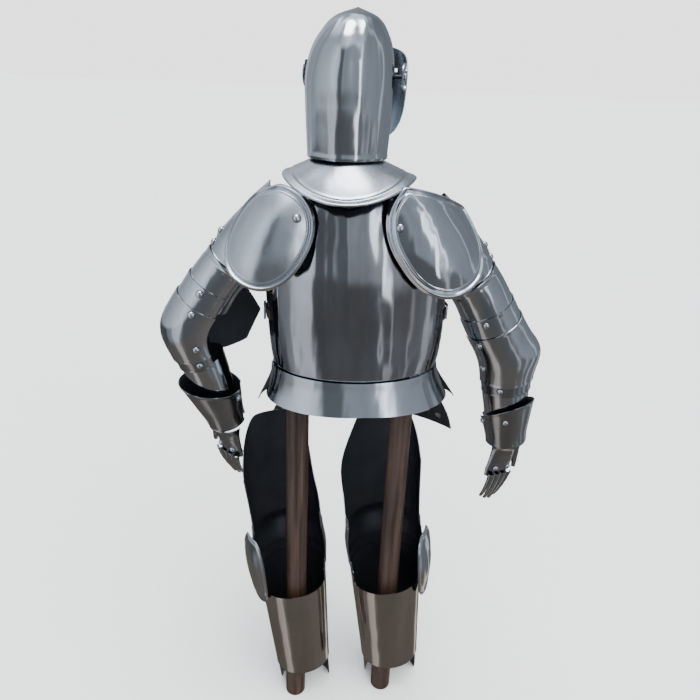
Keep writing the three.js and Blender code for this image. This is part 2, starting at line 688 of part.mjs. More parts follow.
function armPlates(side) {
  const { frame, upper, fore } = armPath(side);
  const girth = ARM_GIRTH[side];
  const shape = (key) => {
    const part = key < 0 ? key / fore : key < upper ? key / upper : 1 + (key - upper) / SHOULDER_REACH;
    const s = ARM(part);
    return { a: s.a * girth, b: s.b * girth, x: s.x * girth };
  };
  const rimmed = CUFF_RIM[side];
  const cuffShape = (key) => {
    const [wrist, s] = [CUFF(0), CUFF(key + fore)];
    return { a: mix(wrist.a, s.a, rimmed.flare) * girth, b: mix(wrist.b, s.b, rimmed.flare) * girth };
  };
  const bulge = COUTER_BULGE[side];
  const opening = ARM_OPENING[side];
  const rivets = ARM_RIVETS[side];
  const tops = ELBOW_TOP[side];
  const plate = (name, material, from, to, low, high, more) => {
    const count = Math.round((to - from) / ARM_STEP);
    const spec = { shape, frame, side: OUTWARD[side], from, to, low, high, us: steps(count), ...more };
    addPlate(suit, `${name}_${side}`, material, spec);
    return spec;
  };
  const capEnd = (angle) => upper + SHOULDER_REACH + 26 * hump(angle, 0, 45);
  const cap = plate("shoulder_cap", STEEL, -90, 90, upper + 38, capEnd, {
    out: LAP, vs: steps(5), rivets: [[6, upper + 50]],
  });
  plate("shoulder_lame", STEEL, -108, 108, upper - 8, upper + 50, {
    shape: (key) => {
      const s = shape(key);
      const narrow = mix(2.8, 0, ease((key - upper - 13) / 18));
      return { ...s, a: s.a - narrow, b: s.b - narrow };
    },
    vs: steps(3), rivets: [[6, upper + 24]],
  });
  plate("upper_arm", STEEL, opening.upper[0], opening.upper[1], 76, upper + 13, {
    vs: [0, 0.5, 0.94, 1],
    relief: (angle, key) => 1.5 * hump(key, upper + 11, 5),
  });
  plate("elbow_upper_lame", STEEL, opening.elbow[0], opening.elbow[1], 40, tops.lame, {
    out: LAP, vs: steps(2), rivets: rivets.lame,
  });
  const couter = plate("elbow_cop", STEEL, opening.elbow[0], opening.elbow[1], -66, tops.cop, {
    out: 2 * LAP, vs: steps(5),
    relief: (angle, key) => bulge * hump(angle, 0, 62) * hump(key, -6, 34),
    rivets: rivets.cop,
  });
  plate("elbow_lower_lame", STEEL, opening.elbow[0], opening.elbow[1], -94, -56, {
    out: LAP, vs: steps(2), rivets: rivets.lower,
  });
  const forearm = plate("forearm", STEEL, opening.fore[0], opening.fore[1], 8 - fore, -84, { vs: steps(2) });
  const cuffTop = (angle) => rimmed.height - fore + rimmed.wave * cos(angle - rimmed.highest);
  const cuff = plate("gauntlet_cuff", DARK, opening.cuff[0], opening.cuff[1], -fore, cuffTop, {
    shape: cuffShape, vs: steps(3), rivets: rivets.cuff.map(([angle, height]) => [angle, height - fore]),
    relief: (angle, key) => 1.5 * hump(key, cuffTop(angle) - 2, 4),
  });
  makeHand(side, frame(-fore).middle, [cuff, forearm]);
  return { cap, couter };
}

// Hand: a half-round plate over the back of the hand, four fingers and a thumb

const HAND = profile(["height", "a", "b", "x"], [
  [-96, 20, 40, -4],
  [-60, 22, 40, 0],
  [-24, 27, 40, 0],
  [-8, 38, 44, 0],
  [6, 49.5, 48.5, 0],
]);

function handFrame(side, wrist) {
  const { knuckle, turn } = HANDS[side];
  const along = wrist.clone().sub(new THREE.Vector3(...knuckle)).normalize();
  const outward = new THREE.Vector3(OUTWARD[side] * cos(turn), sin(turn), 0);
  outward.addScaledVector(along, -outward.dot(along)).normalize();
  const back = along.clone().cross(outward).multiplyScalar(OUTWARD[side]);
  return (key) => ({ middle: wrist.clone().addScaledVector(along, key), outward, back });
}

function makeHand(side, wrist, seats) {
  const frame = handFrame(side, wrist);
  const hand = { shape: HAND, frame, side: OUTWARD[side], from: -84, to: 84 };
  const back = barrel({ ...hand, low: -92, high: 6 });
  const heads = [-30, 30].map((angle) => {
    const [u, v] = back.place(angle, -82);
    return solid(rivetHead(back.surface(u, v), normalAt(back.surface, u, v, back.facing)));
  });
  const thumbShape = (key) => {
    const t = clamp((-16 - key) / 80);
    return { a: mix(11, 7, t), b: mix(12, 7, t), x: mix(7, 2, t), y: -mix(36, 54, t) };
  };
  const thumb = barrel({ ...hand, shape: thumbShape, from: -96, to: 96, low: -96, high: -16 });
  const plate = solid(sheet({ ...back, us: steps(6), vs: [0, 0.4, 0.75, 1] }));
  const body = [...heads, solid(sheet({ ...thumb, us: steps(4), vs: steps(2), wall: 1.6 }))];
  const whole = body.reduce((sum, one) => sum.add(one), plate);
  const fitted = seats.reduce((rest, seat) => rest.subtract(grown(seat)), whole);
  add(suit, `hand_plate_${side}`, geometryOf(largest(fitted)), DARK);
  const strip = barrel({ ...hand, low: -112, high: -84, out: -LAP });
  let fingers = solid(sheet({ ...strip, us: steps(6), vs: [0, 0.6, 1], wall: 1.6 }));
  for (let k = 0; k < 4; k += 1) {
    const across = FINGER.pitch * (k - 1.5);
    const length = FINGER.length - 10 * Math.abs(k - 1.3);
    const curl = (key) => {
      const t = clamp((-100 - key) / length);
      return { a: mix(9, 6, t), b: mix(9.6, 6, t), x: mix(13, 6, t) - 14 * t * t, y: across * mix(1, 0.8, t) };
    };
    const finger = barrel({ ...hand, shape: curl, from: -96, to: 96, low: -100 - length, high: -100 });
    fingers = fingers.add(solid(sheet({ ...finger, us: steps(4), vs: steps(2), wall: 1.6 })));
  }
  add(suit, `fingers_${side}`, geometryOf(fingers), DARK);
}

// Dished plates riveted over the limbs

// A tongue outline: an oval with straight edges, each by its direction and its distance from the middle.
function tongue({ width, length, cuts }) {
  const power = 2.3;
  return (angle) => {
    const flat = Math.abs(cos(angle) / (width / 2)) ** power + Math.abs(sin(angle) / (length / 2)) ** power;
    const edges = cuts.map(([direction, distance]) => {
      const away = cos(angle - direction);
      return away > 0.05 ? distance / away : Infinity;
    });
    return Math.min(flat ** (-1 / power), ...edges);
  };
}

const around = (count) => Array.from({ length: count }, (_, i) => (360 * i) / count);

function addDish(parent, name, material, { plate, place, rivets = [], pegs = [], seats = [] }) {
  const group = facingGroup(parent, place);
  const { geometry, top, normal } = dish(plate);
  const heads = rivets.map(([x, y]) => {
    const reach = tongue(plate.size)(THREE.MathUtils.radToDeg(Math.atan2(y, x)));
    return rivetHead(top(x / reach, y / reach), normal(x / reach, y / reach));
  });
  let body = solid(joined(geometry, heads));
  group.updateMatrix();
  const home = group.matrix.clone().invert();
  pegs.forEach(([x, y, length]) => {
    const reach = tongue(plate.size)(THREE.MathUtils.radToDeg(Math.atan2(y, x)));
    const at = top(x / reach, y / reach);
    const peg = new THREE.CylinderGeometry(4, 4, length, 10).rotateX(Math.PI / 2);
    peg.translate(at.x, at.y, at.z - WALL / 2 - length / 2);
    body = body.add(solid(peg));
  });
  seats.forEach((seat) => {
    const cut = geometryOf(grown(seat)).applyMatrix4(home);
    body = body.subtract(solid(cut));
  });
  add(group, name, geometryOf(largest(body)), material);
}

function makeArm(side) {
  const { cap, couter } = armPlates(side);
  const back = PAULDRON[side];
  const plate = {
    size: back, crown: 26, rim: RIM_HEIGHT, bend: 0.0022,
    rings: [0.5, 0.86, 0.94, 1], sectors: around(20),
  };
  const [pegX, pegY] = back.peg;
  const pegs = [[pegX, pegY, 76]];
  addDish(suit, `shoulder_back_${side}`, SATIN, { plate, place: back.place, rivets: [back.rivet], pegs, seats: [cap] });
  const [x, y, z] = back.place.at;
  const front = { ...back.place, at: [x + OUTWARD[side] * 6, -y, z - 40] };
  front.azimuth = 180 - back.place.azimuth;
  front.turn = -back.place.turn;
  const cuts = back.cuts.map(([direction, distance]) => [180 - direction, distance]);
  const mirrored = { ...plate, size: { ...back, cuts } };
  const frontPegs = [[-pegX, pegY + 34, 76]];
  addDish(suit, `shoulder_front_${side}`, SATIN, { plate: mirrored, place: front, pegs: frontPegs, seats: [cap] });
  const wing = { size: ELBOW_WING[side], crown: 14, rings: [0.6, 1], sectors: around(18) };
  addDish(suit, `elbow_wing_${side}`, DARK, {
    plate: wing, place: ELBOW_WING[side].place, pegs: [[...ELBOW_WING[side].peg, 60]], seats: [couter],
  });
  return cap;
}

// Legs

const SHIN = profile(["z", "a", "b"], [
  [0, 74, 66],
  [100, 77, 68.5],
  [425, 92, 85],
  [450, 93.3, 86.4],
  [510, 97, 92],
  [570, 93, 88],
  [660, 95, 90],
  [780, 101, 97],
  [870, 102, 100],
]);

function makeLeg(side) {
  const leg = new THREE.Group();
  leg.position.set(...LEG[side], 0);
  leg.rotation.y = THREE.MathUtils.degToRad(LEG.lean);
  suit.add(leg);
  const girth = LEG_GIRTH[side];
  const shape = (z) => {
    const swell = THIGH_SWELL[side] * hump(z, 720, 75);
    return { a: SHIN(z).a * girth + swell, b: SHIN(z).b * girth, x: -swell };
  };
  const fromFront = (angle) => Math.abs(angle + 90);
  const slope = (angle) => OUTWARD[side] * Math.tan(THREE.MathUtils.degToRad(LEG.lean)) * cos(angle);
  const hem = (angle) => {
    const off = fromFront(angle);
    const arch = 46 * (1 - ease((off - 22) / 22)) + 95 * ease((off - 82) / 20);
    return arch + slope(angle) * shape(0).a + 0.3;
  };
  const plate = (name, material, spec) => {
    const full = { shape, side: OUTWARD[side], ...spec };
    full.us = steps(Math.round((full.to - full.from) / 15));
    addPlate(leg, `${name}_${side}`, material, full);
    return full;
  };
  plate("shin", DARK, { from: -195, to: 15, low: hem, high: 425, vs: [0, 0.12, 0.24, 1] });
  plate("calf", STEEL, { from: -30, to: 210, low: 98, high: 392, out: LAP, vs: steps(2) });
  plate("knee_lame", DARK, { from: -195, to: 15, low: 412, high: 458, out: LAP, vs: steps(1) });
  const cop = plate("knee_cop", DARK, {
    from: -195, to: 15, low: 446, high: 576, out: 2 * LAP, vs: steps(5),
    relief: (angle, z) => 26 * hump(angle, -90, 44) * hump(z, 512, 34),
  });
  plate("thigh", DARK, {
    from: -195, to: 15, low: 562, out: LAP, vs: steps(4),
    high: (angle) => {
      const [fall, start, reach] = THIGH_TOP[side][angle < -90 ? "inner" : "outer"];
      return 864 - fall * ease((fromFront(angle) - start) / reach);
    },
  });
  const wing = {
    size: KNEE_WING, crown: 16, rim: 3, rings: [0.6, 0.88, 1], sectors: around(16),
  };
  const [outward, y, z] = KNEE_WING[side];
  const place = { at: [OUTWARD[side] * outward, y, z], azimuth: OUTWARD[side] * KNEE_WING.azimuth, lift: 0, turn: 0 };
  addDish(leg, `knee_wing_${side}`, STEEL, { plate: wing, place, pegs: [[-22 * OUTWARD[side], 40, 60]], seats: [cop] });
}

makeHelmet();
makeGorget();
makeTorso();
makeFlange();
makeSideStraps();
makeTassets();
const caps = SIDES.map(makeArm);
SIDES.forEach(makeLeg);
makeStand(caps);

// The frame's origin is the middle of the bounding box at floor level.
suit.updateMatrixWorld(true);
const box = new THREE.Box3().setFromObject(suit, true);
const centre = box.getCenter(new THREE.Vector3());
suit.position.set(-centre.x, -centre.y, -box.min.z);

export default suit;
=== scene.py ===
"""The looks of a suit of plate armour on a wooden stand.

Every plate is worked out from the same named sizes and section tables as its CAD node, in
millimetres, at a finer pitch, with its rolled rims, rivets and hammered waves.
"""

import math
from contextlib import contextmanager

import bmesh
import bpy
import numpy as np
from mathutils import Matrix, Vector


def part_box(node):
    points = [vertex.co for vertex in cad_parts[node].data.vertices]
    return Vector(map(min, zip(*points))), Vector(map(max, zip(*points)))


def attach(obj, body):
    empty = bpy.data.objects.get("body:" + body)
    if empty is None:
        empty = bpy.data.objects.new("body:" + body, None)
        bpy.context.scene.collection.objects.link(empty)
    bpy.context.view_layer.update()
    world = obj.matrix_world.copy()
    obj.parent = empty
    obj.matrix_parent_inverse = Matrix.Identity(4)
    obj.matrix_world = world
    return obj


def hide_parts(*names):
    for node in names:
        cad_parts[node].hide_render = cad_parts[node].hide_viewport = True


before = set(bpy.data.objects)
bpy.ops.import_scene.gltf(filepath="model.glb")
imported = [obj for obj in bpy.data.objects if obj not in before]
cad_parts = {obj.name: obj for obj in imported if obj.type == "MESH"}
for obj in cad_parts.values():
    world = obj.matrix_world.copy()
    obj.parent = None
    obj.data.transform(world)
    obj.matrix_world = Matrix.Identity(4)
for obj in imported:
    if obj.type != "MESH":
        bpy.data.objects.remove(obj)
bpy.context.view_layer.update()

# Sheet, seams and fastenings
WALL = 2.0
SEAM = 0.3
LAP = 2.6
RIVET_RADIUS = 8
RIVET_HEIGHT = 6
RIM_HEIGHT = 5.0

# Head and neck
HEAD = dict(x=26, y=-8, yaw=-18)
SKULL_HEM = 1512
SKULL_TOP = 1789
FACE_TOP = 1690
FACE_HALF_ANGLE = 40
VISOR = dict(axis_y=-42, axis_z=1668, half_width=103, radius=106, chin=26, top=35, bottom=-72)
BOLT = dict(shank=4, head=8, inner=81.1)
BOLT_SIDES = 28
# From the middle of the visor and its axis: a sight slit, and four breathing holes in two rows
SLIT = dict(across=43, up=14, size=(62, 80, 7))
BREATH = dict(radius=4, across=32, apart=18, down=40, rows=20)
LUG = dict(inner=5, outer=27)
NECK = dict(x=21, y=0, yaw=-10, rim_side=1478, rim_dip=41, seat=1504, tube_x=5, tube_y=-6)

# Torso
# Half of the gap between a front and a back plate, in degrees
HALF_GAP = 0.07
WAIST = 1040
FLANGE = dict(top=1057, back=984, side=976, front=956)
TASSET = dict(span=45, high=968, corner=800, inner=812, left=315, right=207)
# A tasset's rivets: degrees in from its outer edge, and height
TASSET_RIVETS = [(8, 834), (24, 842)]
STRAP = dict(low=1168, high=1192, reach=16, thickness=2.4)

# Stand
POST = dict(radius=27.5, edge=1.2, spread=126, y=12)

# Legs and arms
LEG = dict(lean=5.6, left=(94, -21), right=(-163, -25))
LEG_GIRTH = dict(left=0.96, right=1.04)
# The leg plates' edges above the floor
LEG_EDGES = dict(shin=425, calf=(98, 392), lame=(412, 458), cop=(446, 576), thigh=562, thigh_top=864)
# Their span by angle, where -90 is the front: the plates in front, and the calf's
FRONT_SPAN = (-195, 15)
CALF_SPAN = (-30, 210)
KNEE_WING = dict(
    width=118, length=218, cuts=[(90, 103)], azimuth=62, left=(94, 28, 463), right=(105, 28, 440),
)
# The thigh plate's top falls away to each side: by how much, and from and over how many degrees.
THIGH_TOP = dict(
    left=dict(inner=(250, 24, 76), outer=(140, 30, 68)),
    right=dict(inner=(260, 8, 82), outer=(110, 50, 50)),
)
THIGH_SWELL = dict(left=-4, right=9)
# The arms' joints: neck, shoulder, elbow and wrist.
ARMS = dict(
    left=[(150, 0, 1390), (286, 0, 1279), (370, -10, 1138), (297, -55, 867)],
    right=[(-120, 0, 1385), (-276, 0, 1250), (-375, -10, 1067), (-413, -20, 819)],
)
ARM_BEND = 60
# The arm plates' edges above the elbow, and those near the shoulder above it
ARM_EDGES = dict(upper_arm=76, upper_lame=40, cop=-66, lower_lame=(-94, -56), forearm=-84)
SHOULDER_EDGES = dict(upper_arm=13, lame=(-8, 50), cap=38)
SHOULDER_REACH = 168
ARM_GIRTH = dict(left=0.95, right=1.06)
COUTER_BULGE = dict(left=9, right=16)
ARM_OPENING = dict(
    left=dict(upper=(-144, 180), elbow=(-108, 126), fore=(-180, 144), cuff=(-162, 162)),
    right=dict(upper=(-126, 198), elbow=(-108, 180), fore=(-144, 198), cuff=(-144, 180)),
)
# Rivets by angle and height above the elbow; a cuff's are above the wrist.
ARM_RIVETS = dict(
    left=dict(lame=[(70, 102)], cop=[(78, 54), (102, -30)], lower=[(96, -76)], cuff=[(152, 77)]),
    right=dict(
        lame=[(111, 124)], cop=[(142, 72), (159, -15)], lower=[(120, -76)], cuff=[(107, 86), (172, 70)],
    ),
)
# A cuff's rim: its middle height above the wrist, how far it waves and where it is highest.
CUFF_RIM = dict(
    left=dict(height=120, wave=26, highest=0, flare=1.0),
    right=dict(height=97, wave=33, highest=61, flare=0.75),
)
ELBOW_TOP = dict(left=dict(cop=66, lame=116), right=dict(cop=88, lame=138))
PAULDRON = dict(
    left=dict(
        width=168, length=216, cuts=[(132, 98)], rivet=(38, 62),
        at=(192, 112, 1368), azimuth=20, lift=20, turn=-24,
    ),
    right=dict(
        width=200, length=258, cuts=[(45, 83)], rivet=(-65, 67),
        at=(-156, 112, 1372), azimuth=-20, lift=20, turn=30,
    ),
)
ELBOW_WING = dict(
    left=dict(
        width=144, length=206, cuts=[(84, 92), (138, 74)], at=(304, -98, 1122), azimuth=180, lift=0, turn=67,
    ),
    right=dict(width=110, length=120, cuts=[(90, 56)], at=(-390, -110, 1060), azimuth=180, lift=0, turn=0),
)
HANDS = dict(
    left=dict(knuckle=(290, -97, 726), turn=50),
    right=dict(knuckle=(-405, -26, 727), turn=70),
)
FINGER = dict(pitch=19, length=104, wall=1.6)

# Camera: where the photograph was taken from, in the suit's own frame
CAMERA = dict(distance=1370, height=1660, azimuth=7, pitch=23, roll=2.4, lateral=-4.5, focal=637)
PICTURE = 700

SIDES = ("left", "right")
OUTWARD = dict(left=1, right=-1)

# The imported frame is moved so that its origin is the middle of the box: read that move from a post.
low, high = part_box("post_left")
SHIFT = np.array([
    500 * (low[0] + high[0]) - POST["spread"],
    500 * (low[1] + high[1]) - POST["y"],
    1000 * low[2],
])

X_AXIS = np.array([1.0, 0.0, 0.0])
Y_AXIS = np.array([0.0, 1.0, 0.0])
Z_AXIS = np.array([0.0, 0.0, 1.0])


# Small mathematics

def cosd(angle):
    return np.cos(np.radians(angle))


def sind(angle):
    return np.sin(np.radians(angle))


def mix(start, stop, t):
    return start + (stop - start) * t


def ease(t):
    t = np.clip(t, 0, 1)
    return t * t * (3 - 2 * t)


def hump(value, centre, width):
    return np.exp(-(((value - centre) / width) ** 2))


def steps(count, *extra):
    return np.unique(np.concatenate([np.linspace(0, 1, count + 1), np.array(extra, float)]))


def unit(v):
    return v / np.maximum(np.linalg.norm(v, axis=-1, keepdims=True), 1e-12)


def profile(columns, rows):
    """A section table read on a smooth curve: the first column is the key."""
    table = np.array(rows, float)
    keys = table[:, 0]
    last = len(rows) - 1
    slopes = np.empty_like(table)
    for i in range(len(rows)):
        before, after = max(0, i - 1), min(last, i + 1)
        slopes[i] = (table[after] - table[before]) / (keys[after] - keys[before])

    def read(key):
        key = np.asarray(key, float)
        i = np.clip(np.searchsorted(keys, key) - 1, 0, last - 1)
        span = keys[i + 1] - keys[i]
        t = np.clip((key - keys[i]) / span, 0, 1)
        found = {}
        for c, name in enumerate(columns):
            leave, arrive = slopes[i, c] * span, slopes[i + 1, c] * span
            rise = table[i, c] - table[i + 1, c]
            a = 2 * rise + leave + arrive
            b = -3 * rise - 2 * leave - arrive
            found[name] = ((a * t + b) * t + leave) * t + table[i, c]
        return found

    return read


def waves(seed, count, along, across, amount):
    """Hammered waves: long along one way, short across the other, worked out by a seeded table."""
    chance = np.random.default_rng(seed)
    table = []
    for _ in range(count):
        kx, kz = chance.uniform(0.6, 1.5) / across, chance.uniform(-1, 1) / along
        table.append((kx, kz, chance.uniform(0, 6.28)))

    def read(x, z):
        total = 0
        for i, (kx, kz, phase) in enumerate(table):
            total = total + np.sin(6.283 * (kx * x + kz * z) + phase) / (1 + 0.25 * i)
        return amount * total / math.sqrt(count)

    return read


# Section tables

SKULL = profile(["z", "a", "b", "x", "y"], [
    (SKULL_HEM, 82, 95, 0, 0),
    (1565, 85, 100, 0, 0),
    (1612, 87, 105, 0, 0),
    (1664, 88, 108, 0, 0),
    (1708, 81, 100, -2, -2),
    (1740, 68, 84, -5, -5),
    (1772, 42, 52, -8, -9),
    (SKULL_TOP, 0, 0, -9, -10),
])
SEAT_PART = 0.55
GORGET = profile(["part", "a", "b", "rise", "x", "y"], [
    (0, 139, 150, 0, 0, 0),
    (0.5, 113, 123, 0.28, 2, -2),
    (0.78, 83, 94, SEAT_PART, NECK["tube_x"], NECK["tube_y"]),
    (0.87, 73, 81, 0.66, NECK["tube_x"], NECK["tube_y"]),
    (1, 69, 75, 1, NECK["tube_x"], NECK["tube_y"]),
])
TORSO = profile(["z", "a", "b", "x", "y"], [
    (WAIST, 186, 126, -8, 5),
    (1100, 196, 130, -8, 5),
    (1200, 201, 133, -5, 5),
    (1300, 199, 132, 2, 4),
    (1380, 176, 118, 10, 2),
    (1450, 138, 92, 18, 0),
    (1490, 104, 76, 22, 0),
])
SKIRT = profile(["z", "a", "b", "x", "y"], [
    (780, 285, 205, -18, 0),
    (950, 222, 156, -19, 3),
    (990, 206, 144, -15, 4),
    (1030, 193, 133, -10, 5),
    (FLANGE["top"], 188.8, 128.2, -8, 5),
])
ARM = profile(["part", "a", "b", "x"], [
    (-1, 46, 44, 0),
    (-0.7, 49, 48, 0),
    (-0.35, 55, 56, 0),
    (0, 60, 63, 4),
    (0.45, 61, 63, 0),
    (1, 59, 60, 0),
    (1.15, 61, 62, 0),
    (1.5, 71, 68, 0),
    (2, 80, 72, 0),
])
CUFF = profile(["height", "a", "b"], [
    (0, 48.7, 46.7),
    (30, 52, 50),
    (70, 61, 58),
    (110, 70, 66),
    (150, 79, 74),
])
HAND = profile(["height", "a", "b", "x"], [
    (-96, 20, 40, -4),
    (-60, 22, 40, 0),
    (-24, 27, 40, 0),
    (-8, 38, 44, 0),
    (6, 49.5, 48.5, 0),
])
SHIN = profile(["z", "a", "b"], [
    (0, 74, 66),
    (100, 77, 68.5),
    (425, 92, 85),
    (450, 93.3, 86.4),
    (510, 97, 92),
    (570, 93, 88),
    (660, 95, 90),
    (780, 101, 97),
    (870, 102, 100),
])


# Meshes

def barrel(shape, start, stop, low, high, out=0, side=1, by_part=False, relief=None, path=None):
    """The outer surface of a plate round a limb: angle 0 is outward, 90 the back, 180 inward."""
    def edge(limit, angle):
        return limit(angle) if callable(limit) else limit

    def surface(u, v):
        angle = mix(start, stop, u)
        bottom, top = edge(low, angle), edge(high, angle)
        section = shape(v if by_part else mix(bottom, top, v))
        key = mix(bottom, top, section.get("rise", v))
        more = out + (relief(angle, key) if relief else 0)
        if path:
            middle, outward, back = path(key)
        else:
            middle = np.asarray(key)[..., None] * Z_AXIS
            outward, back = side * X_AXIS, Y_AXIS
        reach = section.get("x", 0) + (section["a"] + more) * cosd(angle)
        depth = section.get("y", 0) + (section["b"] + more) * sind(angle)
        return middle + outward * reach[..., None] + back * depth[..., None]

    def place(angle, key):
        bottom, top = edge(low, angle), edge(high, angle)
        return (angle - start) / (stop - start), (key - bottom) / (top - bottom)

    return dict(surface=surface, place=place, facing=side)


def normals(surface, u, v, facing):
    e = 1e-3
    w = np.minimum(v, 0.985)
    across = surface(u + e, w) - surface(u - e, w)
    along = surface(u, w + e) - surface(u, w - e)
    return unit(np.cross(across, along)) * facing


# The kinds of face: a plate's outer side, its inner side and its rim, and what is fitted to it.
KINDS = range(4)
OUTER, INNER, RIM, FITTING = KINDS
# An edge is sharp where its faces turn by more than this, in radians: on a fitting, and on a turned piece.
SHARP_FITTING = 0.9
SHARP_TURNING = 0.7


class Shape:
    """Points and faces in millimetres, with each face's kind."""

    def __init__(self):
        self.points = []
        self.faces = []
        self.kinds = []
        self.count = 0

    def add(self, points, faces, kind):
        points = np.asarray(points, float).reshape(-1, 3)
        self.points.append(points)
        self.faces += [tuple(int(i) + self.count for i in face) for face in faces]
        self.kinds += [kind] * len(faces) if isinstance(kind, int) else list(kind)
        self.count += len(points)
        return self

    def join(self, other):
        return self.add(np.concatenate(other.points), other.faces, other.kinds)

    def all_points(self):
        return np.concatenate(self.points)


def volume(points, faces):
    corners = points[np.array(faces)]
    total = 0.0
    for k in (1, 2):
        total += np.sum(corners[:, 0] * np.cross(corners[:, k], corners[:, k + 1]))
    return total


def sheet(plate, us, vs, wall=WALL, ring=False, pole=False, ripple=None):
    """A wall under an outer surface; a ring closes on itself across."""
    surface = plate["surface"]
    columns = us[:-1] if ring else us
    grid_u, grid_v = np.meshgrid(columns, vs, indexing="ij")
    outer = surface(grid_u, grid_v)
    normal = normals(surface, grid_u, grid_v, plate["facing"])
    if pole:
        normal[:, -1] = Z_AXIS
    if ripple is not None:
        outer = outer + normal * ripple(grid_u, grid_v, outer)[..., None]
    inner = outer - normal * wall
    n, m = len(columns), len(vs)
    count = n * m
    faces, kinds = [], []

    def put(kind, *corners):
        """A face from its corners, each by column, row and layer: 0 is the outer one."""
        faces.append(tuple((i % n) * m + j + layer * count for i, j, layer in corners))
        kinds.append(kind)

    right, top = n - 1, m - 1
    for i in range(n if ring else right):
        for j in range(top):
            put(OUTER, (i, j, 0), (i + 1, j, 0), (i + 1, j + 1, 0), (i, j + 1, 0))
            put(INNER, (i, j, 1), (i, j + 1, 1), (i + 1, j + 1, 1), (i + 1, j, 1))
        put(RIM, (i, 0, 0), (i, 0, 1), (i + 1, 0, 1), (i + 1, 0, 0))
        if not pole:
            put(RIM, (i, top, 0), (i + 1, top, 0), (i + 1, top, 1), (i, top, 1))
    if not ring:
        for j in range(top):
            put(RIM, (0, j, 0), (0, j + 1, 0), (0, j + 1, 1), (0, j, 1))
            put(RIM, (right, j, 0), (right, j, 1), (right, j + 1, 1), (right, j + 1, 0))
    points = np.concatenate([outer.reshape(-1, 3), inner.reshape(-1, 3)])
    if volume(points, faces) < 0:
        faces = [tuple(reversed(face)) for face in faces]
    return Shape().add(points, faces, kinds)


def lathe(section, sides, at, normal, kind=FITTING):
    """A turned piece on the line through a point: section rows are radius and height."""
    normal = unit(np.asarray(normal, float))
    side = unit(np.cross(normal, Y_AXIS if abs(normal[1]) < 0.9 else X_AXIS))
    other = np.cross(normal, side)
    angles = np.arange(sides) * (360.0 / sides)
    ring = cosd(angles)[:, None] * side + sind(angles)[:, None] * other
    points = [np.asarray(at) + normal * h + ring * r for r, h in section]
    faces = []
    for k in range(len(section) - 1):
        for i in range(sides):
            j = (i + 1) % sides
            faces.append((k * sides + i, k * sides + j, (k + 1) * sides + j, (k + 1) * sides + i))
    faces.append(tuple(range(sides))[::-1])
    faces.append(tuple((len(section) - 1) * sides + i for i in range(sides)))
    return Shape().add(np.concatenate(points), faces, kind)


# A rivet's section, in parts of its radius and height: a flat dark ring of painted shade round its foot, then
# the domed head.
RIVET = [
    (1.1, -0.4),
    (1.1, 0.03),
    (0.98, 0.05),
    (0.98, 0.14),
    (0.92, 0.38),
    (0.78, 0.64),
    (0.56, 0.84),
    (0.3, 0.96),
    (0.06, 1.0),
]
RIVET_SIDES = 24


def rivet(at, normal):
    """A domed head in a thin dark ring of painted shade, which is the first two bands of its section."""
    head = lathe([(RIVET_RADIUS * r, RIVET_HEIGHT * h) for r, h in RIVET], RIVET_SIDES, at, normal)
    # The first two bands take the black inside material as painted shade round the rivet's foot.
    painted_shade_ring = 2 * RIVET_SIDES
    head.kinds[:painted_shade_ring] = [INNER] * painted_shade_ring
    return head


def add_rivets(shape, plate, places):
    """Rivets on a plate, each at an angle and a height."""
    for angle, key in places:
        u, v = (np.array([[float(t)]]) for t in plate["place"](angle, key))
        at = plate["surface"](u, v)[0, 0]
        shape.join(rivet(at, normals(plate["surface"], u, v, plate["facing"])[0, 0]))


def turned(points, yaw, x, y):
    c, s = cosd(yaw), sind(yaw)
    turn = np.array([[c, -s, 0], [s, c, 0], [0, 0, 1]])
    return points @ turn.T + np.array([x, y, 0])


def leaning(points, side):
    c, s = cosd(LEG["lean"]), sind(LEG["lean"])
    turn = np.array([[c, 0, s], [0, 1, 0], [-s, 0, c]])
    return points @ turn.T + np.array([LEG[side][0], LEG[side][1], 0])


def facing(place):
    """The axes and centre of a dished plate: its last axis is its normal."""
    azimuth, lift, turn = place["azimuth"], place["lift"], place["turn"]
    normal = np.array([sind(azimuth) * cosd(lift), cosd(azimuth) * cosd(lift), sind(lift)])
    right = unit(np.cross(Z_AXIS, normal))
    up = np.cross(normal, right)
    x = right * cosd(turn) + up * sind(turn)
    y = up * cosd(turn) - right * sind(turn)
    return np.stack([x, y, normal]), np.array(place["at"], float)


def in_metres(points):
    return ((points + SHIFT) * 0.001).tolist()


def mesh_of(name, shape, move=None):
    points = shape.all_points()
    mesh = bpy.data.meshes.new(name)
    mesh.from_pydata(in_metres(points if move is None else move(points)), [], shape.faces)
    return mesh


def placed(name, data):
    thing = bpy.data.objects.new(name, data)
    bpy.context.scene.collection.objects.link(thing)
    return thing


@contextmanager
def editing(mesh):
    work = bmesh.new()
    work.from_mesh(mesh)
    yield work
    work.to_mesh(mesh)
    work.free()


